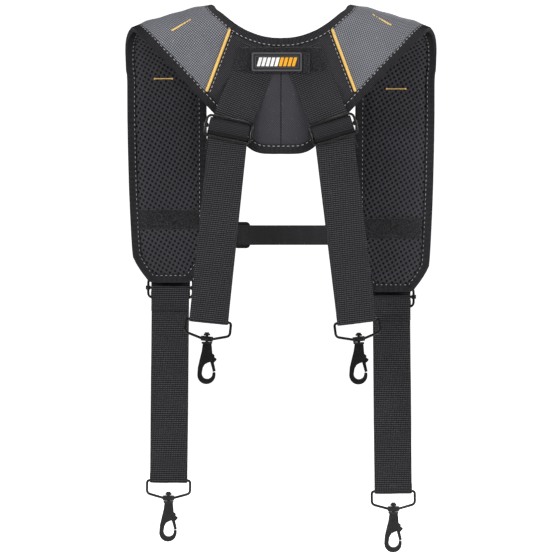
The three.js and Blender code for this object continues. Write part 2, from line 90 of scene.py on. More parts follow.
def mesh_object(name, points, faces, material, uv=None):
    """A mesh object from points and faces. uv gives each point its place on the flat cloth."""
    mesh = bpy.data.meshes.new(name)
    mesh.from_pydata([tuple(map(float, p)) for p in points], [], [tuple(map(int, f)) for f in faces])
    mesh.validate()
    if uv is not None:
        layer = mesh.uv_layers.new(name="cloth")
        corners = np.zeros(len(mesh.loops), np.int32)
        mesh.loops.foreach_get("vertex_index", corners)
        layer.data.foreach_set("uv", np.asarray(uv, np.float32)[corners].ravel())
    mesh.shade_smooth()
    mesh.materials.append(material)
    obj = bpy.data.objects.new(name, mesh)
    bpy.context.collection.objects.link(obj)
    return obj


def add(tree, kind, inputs=None, **settings):
    """A shader node. Inputs are keyed by socket name or number, and hold a value or a socket to link."""
    node = tree.nodes.new(kind)
    for name, value in settings.items():
        setattr(node, name, value)
    for key, value in (inputs or {}).items():
        if isinstance(value, bpy.types.NodeSocket):
            tree.links.new(value, node.inputs[key])
        else:
            node.inputs[key].default_value = value
    return node


def math_of(tree, operation, *values):
    """A math node's result."""
    return add(tree, "ShaderNodeMath", dict(enumerate(values)), operation=operation).outputs[0]


def colour(code):
    """A linear colour from a hex code."""
    parts = [int(code[i:i + 2], 16) / 255 for i in (1, 3, 5)]
    return (*[c / 12.92 if c < 0.04045 else ((c + 0.055) / 1.055) ** 2.4 for c in parts], 1)


def new_material(name):
    """(material, its tree, its Principled shader)"""
    material = bpy.data.materials.new(name)
    material.use_nodes = True
    return material, material.node_tree, material.node_tree.nodes["Principled BSDF"]


sweep_material, sweep_tree, sweep_shader = new_material("studio sweep")
grain = add(sweep_tree, "ShaderNodeTexNoise", {"Scale": 3})
tint = add(sweep_tree, "ShaderNodeMix", {"Factor": grain.outputs["Fac"], 6: (0.93, 0.93, 0.93, 1),
                                         7: (0.96, 0.96, 0.96, 1)}, data_type="RGBA")
sweep_tree.links.new(tint.outputs[2], sweep_shader.inputs["Base Color"])
sweep_tree.links.new(tint.outputs[2], sweep_shader.inputs["Emission Color"])
seen = add(sweep_tree, "ShaderNodeLightPath").outputs["Is Camera Ray"]
glow = add(sweep_tree, "ShaderNodeMapRange", {"Value": seen, "To Min": 0.06, "To Max": 0.85}).outputs[0]
sweep_tree.links.new(glow, sweep_shader.inputs["Emission Strength"])
sweep_shader.inputs["Roughness"].default_value = 0.9
floor_z = cad_box[0].z - 0.03
profile = [(-6, 0), (4.4, 0)]
profile += [(4.4 + 1.2 * math.sin(a), 1.2 - 1.2 * math.cos(a)) for a in np.linspace(0.1, math.pi / 2, 12)]
profile += [(5.6, 5)]
sweep = mesh_object(
    "studio_sweep",
    [(x, y, floor_z + z) for y, z in profile for x in (-6, 6)],
    [(2 * i, 2 * i + 1, 2 * i + 3, 2 * i + 2) for i in range(len(profile) - 1)],
    sweep_material,
)

world = bpy.data.worlds.new("studio")
bpy.context.scene.world = world
world.use_nodes = True
world_tree = world.node_tree
seen = add(world_tree, "ShaderNodeLightPath").outputs["Is Camera Ray"]
brightness = add(world_tree, "ShaderNodeMapRange", {"Value": seen, "To Min": 0.22, "To Max": 1.0}).outputs[0]
world_tree.links.new(brightness, world_tree.nodes["Background"].inputs["Strength"])
world_tree.nodes["Background"].inputs["Color"].default_value = (1, 1, 1, 1)


def soft_light(name, place, aim, power, size):
    """A square area light that faces a point."""
    light = bpy.data.objects.new(name, bpy.data.lights.new(name, "AREA"))
    light.data.energy, light.data.size, light.data.shape = power, size, "SQUARE"
    light.location = place
    light.rotation_euler = (Vector(aim) - Vector(place)).to_track_quat("-Z", "Y").to_euler()
    bpy.context.collection.objects.link(light)


centre = (cad_box[0] + cad_box[1]) / 2
soft_light("key", (-1.1, -1.9, 0.9), centre, 19, 0.7)
soft_light("fill", (1.6, -1.3, 0.2), centre, 11, 0.9)
soft_light("front", (0.6, 2.0, 0.8), centre, 22, 0.9)
soft_light("crown", (0.0, -0.4, 1.6), centre, 12, 0.8)
soft_light("left edge", (-1.3, -0.7, 0.1), centre, 6, 0.35)
soft_light("right edge", (1.3, -0.7, 0.1), centre, 6, 0.35)

# ---------------------------------------------------------------- pad
# One long foam pad: across the shoulder blades, over both shoulders and down both fronts. Black
# polyester twill covers its outer face. It is thin at its bound edge and full between, and it is
# one piece that bends over the shoulders.
MM = 0.001
SADDLE = {"x": 0.137, "radius": 0.046, "slope": math.radians(15.9), "underside": 0.0374}
TURN = math.pi * SADDLE["radius"]  # from the back to the front over a shoulder
LEAN = (math.cos(SADDLE["slope"]), math.sin(SADDLE["slope"]))
SIDES = {-1: "left", 1: "right"}
BOTTOM = {side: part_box(f"front_{name}_pad")[0].z - 0.0031 for side, name in SIDES.items()}
PAD = {"edge": 0.0025, "outer": 0.005, "inner": 0.0071, "lining": 0.0086}


def spread(x, z):
    """Where points of the back, as seen from behind, lie on the unrolled strip."""
    dx, dz = x - SADDLE["x"], z + SADDLE["underside"]
    s, t = dx * LEAN[0] - dz * LEAN[1], dx * LEAN[1] + dz * LEAN[0]
    around = SADDLE["radius"] * np.arcsin(np.clip(t / (SADDLE["radius"] + PAD["outer"]), 0, 1))
    return s, np.where(t > 0, around, t)


def spread_front(x, z):
    """Where points of a front, as seen from behind, lie on the unrolled strip."""
    s, t = spread(x, z)
    return s, TURN - t


def laid(s, t, height, side):
    """Points of the body from places on the unrolled strip, at heights above its middle surface."""
    s, t, height = np.broadcast_arrays(np.asarray(s, float), np.asarray(t, float), np.asarray(height, float))
    r = SADDLE["radius"] + height
    angle = np.clip(t / SADDLE["radius"], 0, math.pi)
    rise = np.where(t < 0, t, np.where(t > TURN, TURN - t, r * np.sin(angle)))
    x = side * (SADDLE["x"] + s * LEAN[0] + rise * LEAN[1])
    return np.stack([x, -r * np.cos(angle), -SADDLE["underside"] - s * LEAN[1] + rise * LEAN[0]], -1)


def smooth_line(points, per):
    """A curve through points, with per new points in each stretch."""
    p, out = [np.array(q, float) for q in points], []
    for i in range(len(p) - 1):
        a, b, c, d = p[max(i - 1, 0)], p[i], p[i + 1], p[min(i + 2, len(p) - 1)]
        v, w = (c - a) / 2, (d - b) / 2
        for k in range(per):
            u = k / per
            out.append((2 * b - 2 * c + v + w) * u**3 + (3 * c - 3 * b - 2 * v - w) * u**2 + v * u + b)
    return np.array([*out, p[-1]])


def pad_edges(side):
    """The neck and armhole edges of one side, from the centre of the back to the front's foot."""
    yoke = [((0, -19.6), (0, -163.5)), ((13, -18.9), (14, -163.5)), ((26, -16.3), (26, -162.5)),
            ((38, -12), (38, -157.5)), ((47, -7.5), (54, -143)), ((57, -0.6), (84, -112.5)),
            ((66, 7), (112, -82.5)), ((74, 14.5), (138, -54.7)), ((81, 20.6), (160, -31.2))]
    rows = [tuple(spread(x * MM, z * MM) for x, z in row) for row in yoke]
    arch = [((-68, 55), (34, 42)), ((-64, 72.3), (42, 72.3)), ((-56, 104), (54, 104)),
            ((-47, 137), (63, 137))]
    rows += [tuple((s * MM, t * MM) for s, t in row) for row in arch]
    middle, foot = SADDLE["x"] + 0.006, BOTTOM[side]
    for share in (0, 0.22, 0.47, 0.72):
        z = -0.062 + (foot + 0.042 + 0.062) * share
        rows.append((spread_front(0.096 - share * MM, z), spread_front(0.198 - 0.006 * share**2, z)))
    for up, half in ((42, 48.5), (29, 45.5), (17, 38.5), (8, 32), (1.5, 26), (0, 18)):
        rows.append(tuple(spread_front(middle + k * half * MM, foot + up * MM) for k in (-1, 1)))
    return smooth_line([r[0] for r in rows], 12), smooth_line([r[1] for r in rows], 12)


EDGES = {side: pad_edges(side) for side in SIDES}
OUTLINE = {side: np.concatenate([EDGES[side][0], EDGES[side][1][::-1]]) for side in SIDES}


def from_edge(s, t, side):
    """How far inside the pad's edge places on the unrolled strip are, negative outside."""
    points = np.stack([np.ravel(s), np.ravel(t)], -1)
    a, b = OUTLINE[side][:-1], OUTLINE[side][1:]
    best, inside = np.full(len(points), 9.0), np.zeros(len(points), bool)
    for p, q in zip(a, b):
        along = q - p
        k = np.clip(((points - p) @ along) / max(along @ along, 1e-18), 0, 1)
        best = np.minimum(best, np.linalg.norm(points - p - k[:, None] * along, axis=1))
    for p, q in zip(OUTLINE[side], np.roll(OUTLINE[side], -1, 0)):
        if p[1] != q[1]:
            crosses = (points[:, 1] > min(p[1], q[1])) & (points[:, 1] <= max(p[1], q[1]))
            inside ^= crosses & (points[:, 0] < p[0] + (points[:, 1] - p[1]) / (q[1] - p[1]) * (q[0] - p[0]))
    return np.where(inside, best, -best).reshape(np.shape(s))


def eased(x, start, end):
    """0 before start, 1 after end, and smooth between."""
    k = np.clip((np.asarray(x, float) - start) / (end - start), 0, 1)
    return k * k * (3 - 2 * k)


def ripple(s, t, length, seed=0.0):
    """A slow, uneven wave of about that length, from -1 to 1."""
    k = 2 * math.pi / length
    return (np.sin(k * (s + 0.37 * t) + seed) + np.sin(k * (0.83 * t - 0.29 * s) + 2.1 * seed + 1)
            + np.sin(k * 1.7 * (0.6 * s + 0.7 * t) + 0.7 + seed) * 0.5) / 2.5


def outer_height(s, t, inset):
    """The cover's height above the pad's middle surface."""
    full = eased(inset, 0.004, 0.021)
    return PAD["edge"] + (PAD["outer"] - PAD["edge"]) * full + 0.0003 * ripple(s, t, 0.042) * full


def inner_height(s, t, inset):
    """The lining's height, below the pad's middle surface."""
    full = 0.75 * eased(inset, 0.006, 0.024) + 0.25 * eased(inset, 0.015, 0.045)
    return -PAD["edge"] - (PAD["lining"] - PAD["edge"]) * full - 0.0005 * ripple(s, t, 0.055, 3) * full


def cloth_look(name, base, light, roughness):
    """A black cloth that is lighter where the mask of its weave is, with its weave group ready to set."""
    material, tree, shader = new_material(name)
    shader.inputs["Roughness"].default_value = roughness
    shader.inputs["Specular IOR Level"].default_value = 0.22
    coords = add(tree, "ShaderNodeUVMap", uv_map="cloth").outputs["UV"]
    place = add(tree, "ShaderNodeTexCoord").outputs["Object"]
    mix = add(tree, "ShaderNodeMix", {6: colour(base), 7: colour(light)}, data_type="RGBA")
    fleck = add(tree, "ShaderNodeGroup", {"Vector": place}, node_tree=FLECK)
    worn = add(tree, "ShaderNodeMix", {0: 1.0, 6: mix.outputs[2], 7: fleck.outputs["Tone"]},
               data_type="RGBA", blend_type="MULTIPLY")
    tree.links.new(worn.outputs[2], shader.inputs["Base Color"])
    tree.links.new(fleck.outputs["Roughness"], shader.inputs["Roughness"])
    fleck.inputs["Base Roughness"].default_value = roughness
    return material, tree, shader, coords, mix.inputs[0], fleck


def new_group(name, inputs, outputs):
    """A shader node group with named sockets: (group, its input node, its output node)."""
    group = bpy.data.node_groups.new(name, "ShaderNodeTree")
    for label, kind, value in inputs:
        socket = group.interface.new_socket(label, in_out="INPUT", socket_type=f"NodeSocket{kind}")
        if value is not None:
            socket.default_value = value
    for label, kind in outputs:
        group.interface.new_socket(label, in_out="OUTPUT", socket_type=f"NodeSocket{kind}")
    return group, add(group, "NodeGroupInput").outputs, add(group, "NodeGroupOutput").inputs


# Cloth fleck: the fine grain of yarn, the slow change of tone over a used cloth, and a little lint.
FLECK, fleck_in, fleck_out = new_group(
    "cloth fleck",
    [("Vector", "Vector", None), ("Grain", "Float", 900.0), ("Depth", "Float", 0.25),
     ("Base Roughness", "Float", 0.85)],
    [("Tone", "Color"), ("Roughness", "Float"), ("Height", "Float")],
)
fine = add(FLECK, "ShaderNodeTexNoise",
           {"Vector": fleck_in["Vector"], "Scale": fleck_in["Grain"], "Detail": 2.0})
slow = add(FLECK, "ShaderNodeTexNoise", {"Vector": fleck_in["Vector"], "Scale": 22.0, "Detail": 3.0})
spots = add(FLECK, "ShaderNodeTexNoise", {"Vector": fleck_in["Vector"], "Scale": 340.0, "Detail": 1.0})
lint = math_of(FLECK, "MULTIPLY", math_of(FLECK, "GREATER_THAN", spots.outputs["Fac"], 0.74), 0.5)
both = math_of(FLECK, "ADD", math_of(FLECK, "MULTIPLY", fine.outputs["Fac"], 0.7),
               math_of(FLECK, "MULTIPLY", slow.outputs["Fac"], 0.6))
swing = math_of(FLECK, "MULTIPLY", math_of(FLECK, "SUBTRACT", both, 0.65), fleck_in["Depth"])
tone = math_of(FLECK, "ADD", math_of(FLECK, "ADD", 1.0, math_of(FLECK, "MULTIPLY", swing, 3.0)), lint)
FLECK.links.new(add(FLECK, "ShaderNodeCombineColor", {0: tone, 1: tone, 2: tone}).outputs[0],
                fleck_out["Tone"])
rough = math_of(FLECK, "ADD", fleck_in["Base Roughness"], math_of(FLECK, "MULTIPLY", swing, 0.35))
FLECK.links.new(math_of(FLECK, "MINIMUM", rough, 1.0), fleck_out["Roughness"])
FLECK.links.new(fine.outputs["Fac"], fleck_out["Height"])

# Ribs across a tape or along a twill: a wave with the given pitch along an angle of the cloth.
RIBS, ribs_in, ribs_out = new_group(
    "ribs",
    [("Vector", "Vector", None), ("Pitch", "Float", 0.0012), ("Angle", "Float", 0.0),
     ("Waver", "Float", 0.1)],
    [("Height", "Float"), ("Mask", "Float")],
)
apart = add(RIBS, "ShaderNodeSeparateXYZ", {0: ribs_in["Vector"]}).outputs
across = math_of(RIBS, "ADD", math_of(RIBS, "MULTIPLY", apart[0], math_of(RIBS, "SINE", ribs_in["Angle"])),
                 math_of(RIBS, "MULTIPLY", apart[1], math_of(RIBS, "COSINE", ribs_in["Angle"])))
drift = add(RIBS, "ShaderNodeTexNoise", {"Vector": ribs_in["Vector"], "Scale": 60.0, "Detail": 1.0})
phase = math_of(RIBS, "ADD", math_of(RIBS, "DIVIDE", across, ribs_in["Pitch"]),
                math_of(RIBS, "MULTIPLY", math_of(RIBS, "MULTIPLY", drift.outputs["Fac"], ribs_in["Waver"]),
                        3.0))
wave = math_of(RIBS, "ADD", math_of(RIBS, "MULTIPLY", math_of(RIBS, "SINE",
               math_of(RIBS, "MULTIPLY", phase, 2 * math.pi)), 0.5), 0.5)
RIBS.links.new(wave, ribs_out["Height"])
RIBS.links.new(math_of(RIBS, "POWER", wave, 3.0), ribs_out["Mask"])


def ribs(tree, coords, pitch, angle, waver):
    """The outputs of the ribs group: its Height and its Mask."""
    values = {"Vector": coords, "Pitch": pitch, "Angle": angle, "Waver": waver}
    return add(tree, "ShaderNodeGroup", values, node_tree=RIBS).outputs


def raised(tree, shader, height, strength, distance, fleck=None):
    """Feeds a height, with the grain of a fleck group over it, to a shader as bump."""
    if fleck:
        height = math_of(tree, "ADD", height, math_of(tree, "MULTIPLY", fleck.outputs["Height"], 0.35))
    bump = add(tree, "ShaderNodeBump", {"Height": height, "Strength": strength, "Distance": distance})
    tree.links.new(bump.outputs[0], shader.inputs["Normal"])


twill, tree, shader, coords, mask, fleck = cloth_look("black twill cover", "#0e0d10", "#232226", 0.88)
shader.inputs["Sheen Weight"].default_value = 0.12
line = ribs(tree, coords, 0.0011, 0.7, 0.15)
tree.links.new(line["Mask"], mask)
raised(tree, shader, line["Height"], 0.5, 0.0004, fleck)


def strip_rows(per_side):
    """Sides and row numbers from the left front's foot over the yoke to the right front's foot."""
    return [(-1, i) for i in range(per_side - 1, 0, -1)] + [(1, i) for i in range(per_side)]


def pad_body():
    """The foam and its cover: two faces between the edges, joined round them."""
    shares = 0.5 - 0.5 * np.cos(np.linspace(0, math.pi, 37))
    rows = strip_rows(len(EDGES[1][0]))
    flat, faces = [], []
    for side, i in rows:
        a, b = EDGES[side][0][i], EDGES[side][1][i]
        flat.append(np.array([[*(a + (b - a) * k), side] for k in shares]))
    flat = np.array(flat)
    s, t, side = flat[..., 0], flat[..., 1], flat[..., 2]
    inset = np.where(side < 0, from_edge(s, t, -1), from_edge(s, t, 1)) - 0.0012
    top = laid(s, t, outer_height(s, t, inset), side)
    low = laid(s, t, inner_height(s, t, inset) + 0.0012, side)
    points, n, m = np.concatenate([top, low[:, ::-1]], 1), len(rows), 2 * len(shares)
    for i in range(n - 1):
        faces += [(i * m + j, i * m + k, (i + 1) * m + k, (i + 1) * m + j)
                  for j, k in enumerate([*range(1, m), 0])]
    faces += [tuple(range(m))[::-1], tuple((n - 1) * m + j for j in range(m))]
    uv = np.concatenate([np.stack([side * s, t], -1), np.stack([side * s, t], -1)[:, ::-1]], 1)
    return mesh_object("pad", points.reshape(-1, 3), faces, twill, uv.reshape(-1, 2))


def over_the_shoulders(piece):
    """Bakes the piece's placement into its mesh."""
    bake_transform(piece)


foam = pad_body()
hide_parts("yoke_pad", "front_left_pad", "front_right_pad")
over_the_shoulders(foam)

# ---------------------------------------------------------------- lining
# Knitted spacer mesh covers the face next to the body: diagonal rows of small open holes between
# springy threads. It swells between the bound edges, and a seam joins its halves at the middle.
HOLE = {"across": 0.0070, "along": 0.0041, "depth": 0.0012}

spacer, tree, shader, coords, mask, fleck = cloth_look("spacer mesh", "#050506", "#3f3e43", 0.8)
apart = add(tree, "ShaderNodeSeparateXYZ", {0: coords}).outputs
u = math_of(tree, "DIVIDE", apart[0], HOLE["across"])
v = math_of(tree, "DIVIDE", apart[1], HOLE["along"])
wave_u = math_of(tree, "COSINE", math_of(tree, "MULTIPLY", u, 2 * math.pi))
wave_v = math_of(tree, "COSINE", math_of(tree, "MULTIPLY", v, math.pi))
# The holes are where the two waves agree, so they stand in staggered rows.
agree = math_of(tree, "MULTIPLY", wave_u, wave_v)
open_hole = add(tree, "ShaderNodeMapRange", {"Value": agree, "From Min": 0.0, "From Max": 0.62, "To Min": 1.0,
                                             "To Max": 0.0}, interpolation_type="SMOOTHSTEP").outputs[0]
threads = ribs(tree, coords, 0.0009, 0.6, 0.1)
shine = math_of(tree, "ADD", 0.65, math_of(tree, "MULTIPLY", threads["Height"], 0.35))
lit = math_of(tree, "MULTIPLY", open_hole, shine)
tree.links.new(lit, mask)
raised(tree, shader, lit, 0.6, 0.0006, fleck)


def sheet_faces(kept, order):
    """The squares of a grid whose four points are all kept, with their corners taken in that order."""
    number = np.cumsum(kept.ravel()).reshape(kept.shape) - 1
    whole = kept[:-1, :-1] & kept[1:, :-1] & kept[1:, 1:] & kept[:-1, 1:]
    corners = [number[:-1, :-1], number[1:, :-1], number[1:, 1:], number[:-1, 1:]]
    return np.stack([corners[k][whole] for k in order], -1)


def lining_half(side):
    """Half the lining, on a grid with a point at each hole and at each crossing of threads."""
    step_s, step_t = HOLE["across"] / 8, HOLE["along"] / 4
    low, high = OUTLINE[side].min(0), OUTLINE[side].max(0)
    i = np.arange(math.floor(low[0] / step_s), math.ceil(high[0] / step_s) + 1)
    j = np.arange(math.floor(low[1] / step_t), math.ceil(high[1] / step_t) + 1)
    i, j = np.meshgrid(i, j, indexing="ij")
    s, t = i * step_s, j * step_t
    inset = from_edge(s, t, side)
    hole = np.clip((np.cos(math.pi / 4 * i) * np.cos(math.pi / 4 * j) - 0.15) / 0.5, 0, 1)
    sunk = HOLE["depth"] * hole * eased(inset, 0.006, 0.012)
    height = inner_height(s, t, inset) - 0.0002 + sunk
    seam = np.abs(laid(s, t, 0, 1)[..., 0])
    height += 0.0015 * (1 - eased(seam, 0, 0.006))
    kept = (inset > 0.0035) & (laid(s, t, 0, 1)[..., 0] > -0.0008)
    faces = sheet_faces(kept, (0, 3, 2, 1) if side < 0 else (1, 2, 3, 0))
    points = laid(s, t, height, side)[kept]
    obj = mesh_object(f"lining_{SIDES[side]}", points, faces, spacer, np.stack([s, t], -1)[kept])
    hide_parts("yoke_lining", f"front_{SIDES[side]}_lining")
    over_the_shoulders(obj)


for side in SIDES:
    lining_half(side)

# ---------------------------------------------------------------- binding
# Ribbed grosgrain tape folded round the pad's whole edge, a little puckered where it turns, and held
# by one row of white thread that shows on both faces.
TAPE = {"width": 0.0112, "rib": 0.0016, "thick": 0.0008}
tape_look, tree, shader, coords, mask, fleck = cloth_look("binding tape", "#080709", "#454348", 0.82)
rib = ribs(tree, coords, TAPE["rib"], 0.0, 0.02)
tree.links.new(rib["Mask"], mask)
raised(tree, shader, rib["Height"], 0.9, 0.0007, fleck)


def run_along(points):
    """How far along a line each of its points lies."""
    return np.concatenate([[0], np.cumsum(np.linalg.norm(np.diff(points, axis=0), axis=1))])


def even_line(points, step):
    """(the same line with its points a step apart, more or less; how far along it each lies)"""
    points = np.asarray(points, float)
    length = run_along(points)
    at = np.linspace(0, length[-1], max(2, round(length[-1] / step) + 1))
    return np.stack([np.interp(at, length, points[:, k]) for k in range(points.shape[1])], -1), at


def edge_run(side):
    """The pad's edge on one side, from the neck round the front to the tail, with its inward direction."""
    line, at = even_line(OUTLINE[side], TAPE["rib"] / 2)
    width = 6
    padded = np.concatenate([np.repeat(line[:1], width, 0), line, np.repeat(line[-1:], width, 0)])
    soft = sum(padded[k:k + len(line)] for k in range(2 * width + 1)) / (2 * width + 1)
    tangent = np.gradient(soft, axis=0)
    tangent /= np.linalg.norm(tangent, axis=1)[:, None]
    inward = np.stack([tangent[:, 1], -tangent[:, 0]], -1)
    up = np.array([-LEAN[1], LEAN[0]])
    for end, sign in ((0, -1), (-1, 1)):
        share = eased(np.abs(at - at[end]), 0.0, 0.02)[:, None]
        inward = inward * share + sign * up * (1 - share)
    return line, inward / np.linalg.norm(inward, axis=1)[:, None], at


def bound_height(s, t, side, top):
    """The tape's outer surface over the pad's cover, or under its lining."""
    inset = from_edge(s, t, side)
    return outer_height(s, t, inset) + 0.0011 if top else inner_height(s, t, inset) - 0.0011


def grid_faces(rows, columns):
    """The squares between the points of a whole grid, numbered row by row."""
    i, j = np.meshgrid(np.arange(rows - 1), np.arange(columns - 1), indexing="ij")
    first = i * columns + j
    return np.stack([first, first + 1, first + columns + 1, first + columns], -1).reshape(-1, 4)


def binding_side(side):
    """The tape folded round the whole edge of one side."""
    line, inward, at = edge_run(side)
    pucker = 1 + 0.06 * ripple(at, at * 0.4, 0.019, side) + 0.04 * ripple(at, -at, 0.007, 2)
    rib_height = 0.00022 * np.where(np.arange(len(at)) % 2, 1, -1)
    ring = []
    shares = [1.0, 0.86, 0.6, 0.35, 0.14, 0.04]
    for top in (True, False):
        part = []
        for share in shares:
            inset = TAPE["width"] * share * pucker
            p = line + inward * inset[:, None]
            height = bound_height(p[:, 0], p[:, 1], side, top)
            sign = 1 if top else -1
            wave = 0.0002 * ripple(at, at, 0.012, 1)
            height = height + sign * (rib_height + wave + 0.0003 * (share == 0.6))
            height = np.where(share < 0.1, sign * 0.0019, height)
            part.append((p - inward * (0.0006 if share < 0.1 else 0), height))
            if share == 1.0:
                part.insert(0, (p, height - sign * TAPE["thick"]))
        ring += part if top else part[::-1]
    points = np.stack([laid(p[:, 0], p[:, 1], h, side) for p, h in ring], 1)
    n, m = points.shape[:2]
    width = np.cumsum([0] + [0.0015] * (m - 1))
    uv = np.stack(np.broadcast_arrays(width[None, :], at[:, None]), -1)
    faces = grid_faces(n, m)
    obj = mesh_object(f"binding_{SIDES[side]}", points.reshape(-1, 3), faces if side > 0 else faces[:, ::-1],
                      tape_look, uv.reshape(-1, 2))
    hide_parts("yoke_neck_binding", "yoke_tail_binding", f"front_{SIDES[side]}_binding")
    over_the_shoulders(obj)


for side in SIDES:
    binding_side(side)


def thread_look(name, dark, light):
    """Sewing thread, twisted from a darker and a lighter yarn."""
    material, tree, shader = new_material(name)
    place = add(tree, "ShaderNodeTexCoord").outputs["Object"]
    twist = add(tree, "ShaderNodeTexNoise", {"Vector": place, "Scale": 1500.0}).outputs["Fac"]
    mix = add(tree, "ShaderNodeMix", {0: twist, 6: colour(dark), 7: colour(light)}, data_type="RGBA")
    tree.links.new(mix.outputs[2], shader.inputs["Base Color"])
    shader.inputs["Roughness"].default_value = 0.6
    raised(tree, shader, twist, 0.4, 0.0002)
    return material


white_thread = thread_look("white thread", "#a09e9b", "#dedddb")


def stitches(name, runs, length, width, material, sink=0.4):
    """Short raised stitches. Each run is a line of points with the directions out of the cloth."""
    rings, sides = [(-1, 0.25), (-0.8, 0.8), (0, 1), (0.8, 0.8), (1, 0.25)], 6
    points, faces = [], []
    for places, normals, pitch in runs:
        places, normals = np.asarray(places), np.asarray(normals)
        at = run_along(places)
        step = at[-1] / max(1, round(at[-1] / pitch))
        for centre_at in np.arange(step / 2, at[-1], step):
            base = len(points)
            for along, size in rings:
                here = centre_at + along * length / 2
                p = np.array([np.interp(here, at, places[:, k]) for k in range(3)])
                up = np.array([np.interp(here, at, normals[:, k]) for k in range(3)])
                ahead = np.array([np.interp(here + 1e-4, at, places[:, k]) for k in range(3)]) - p
                aside = np.cross(ahead, up)
                aside /= max(np.linalg.norm(aside), 1e-12)
                p = p + up * width * (0.25 - sink * abs(along) ** 2)
                for k in range(sides):
                    a = 2 * math.pi * k / sides
                    reach = aside * math.cos(a) * width / 2 + up * math.sin(a) * width * 0.4
                    points.append(p + reach * size)
            for r in range(len(rings) - 1):
                for k in range(sides):
                    q, w = base + r * sides, (k + 1) % sides
                    faces.append((q + k, q + w, q + sides + w, q + sides + k))
            faces += [tuple(range(base, base + sides))[::-1],
                      tuple(range(base + 4 * sides, base + 5 * sides))]
    return mesh_object(name, points, faces, material)


def sewn_line(s, t, side, top, lift):
    """(places, outward directions) of a line on the cover or the lining, lifted off it."""
    height = bound_height(s, t, side, top) + (lift if top else -lift)
    low, high = laid(s, t, height, side), laid(s, t, height + (0.001 if top else -0.001), side)
    return low, (high - low) / 0.001


def edge_stitches(top):
    """The white stitches beside the binding, on the cover or on the lining."""
    runs = []
    for side in SIDES:
        line, inward, _ = edge_run(side)
        p = line + inward * 0.0094
        low, out = sewn_line(p[:, 0], p[:, 1], side, top, 0.0001)
        runs.append((low, out, 0.0060))
    size = (0.0032, 0.00075) if top else (0.0026, 0.0006)
    obj = stitches("edge_stitches_cover" if top else "edge_stitches_lining", runs, *size, white_thread)
    over_the_shoulders(obj)


edge_stitches(True)
edge_stitches(False)

# ---------------------------------------------------------------- shoulder panels
# Grey ripstop is laid over each shoulder, from a slanting seam on the back to the collarbone. An amber
# cord is piped into the seam, white thread runs beside it, and amber tacks hold the panel to the pad.
PIPING = (spread(0.0635, -0.0085), spread(0.0925, -0.0865))
PANEL_END = TURN + 0.024
OUTWARD = {-1: (3, 2, 1, 0), 1: (0, 1, 2, 3)}

ripstop, tree, shader, coords, mask, fleck = cloth_look("grey ripstop", "#1f2024", "#9c9ea6", 0.7)
fleck.inputs["Depth"].default_value = 0.18
warp = ribs(tree, coords, 0.0024, 0.95, 0.12)["Height"]
weft = ribs(tree, coords, 0.0024, -0.62, 0.12)["Height"]
over = math_of(tree, "MAXIMUM", math_of(tree, "MULTIPLY", warp, 0.9), math_of(tree, "MULTIPLY", weft, 0.8))
knots = math_of(tree, "MULTIPLY", warp, weft)
crossing = math_of(tree, "ADD", math_of(tree, "MULTIPLY", over, 0.35), math_of(tree, "MULTIPLY", knots, 0.75))
tree.links.new(crossing, mask)
raised(tree, shader, crossing, 0.7, 0.0006, fleck)


def panel(side):
    """A raised sheet between the piped seam, the bound edges and the panel's front end."""
    a, b = (np.array(p) for p in PIPING)
    along = (b - a) / np.linalg.norm(b - a)
    outward = np.array([-along[1], along[0]])
    step = 0.0011
    i, j = np.meshgrid(np.arange(0, 170), np.arange(0, 260), indexing="ij")
    low = np.array([OUTLINE[side][:, 0].min(), min(a[1], b[1]) - 0.02])
    s, t = low[0] + i * step, low[1] + j * step
    beyond = (s - a[0]) * outward[0] + (t - a[1]) * outward[1]
    inset = from_edge(s, t, side)
    kept = (inset > 0.0098) & (beyond > -0.0004) & (t < PANEL_END)
    hem = np.minimum(np.minimum(beyond, PANEL_END - t), 0.004)
    fold = 0.00025 * np.sin(2 * math.pi * (s * 0.9 + 0.2 * t) / 0.0029) * eased(t, 0.012, 0.03)
    height = outer_height(s, t, inset) + 0.0004 + 0.0007 * eased(hem, 0,
                                                                 0.003) + fold * (1 - eased(t, 0.09, 0.12))
    height += 0.0005 * ripple(s, t, 0.028, 5) * eased(inset, 0.01, 0.02)
    faces = sheet_faces(kept, OUTWARD[side])
    obj = mesh_object(f"shoulder_panel_{SIDES[side]}", laid(s, t, height, side)[kept], faces, ripstop,
                      np.stack([side * s, t], -1)[kept])
    over_the_shoulders(obj)


def cover_panel(name, side, inside, material):
    """A sheet of another cloth laid on the cover, where inside(x, z) holds on the back."""
    step = 0.0012
    x, z = np.meshgrid(np.arange(-0.0006, 0.11, step), np.arange(-0.165, 0.0, step), indexing="ij")
    s, t = spread(x, z)
    a, b = (np.array(p) for p in PIPING)
    beyond = ((s - a[0]) * (a[1] - b[1]) + (t - a[1]) * (b[0] - a[0])) / np.linalg.norm(b - a)
    inset = from_edge(s, t, side)
    kept = (inset > 0.0098) & (beyond < 0) & inside(x, z)
    height = outer_height(s, t, inset) + 0.0003
    faces = sheet_faces(kept, OUTWARD[side])
    obj = mesh_object(f"{name}_{SIDES[side]}", laid(s, t, height, side)[kept], faces, material,
                      np.stack([side * x, z], -1)[kept])
    over_the_shoulders(obj)


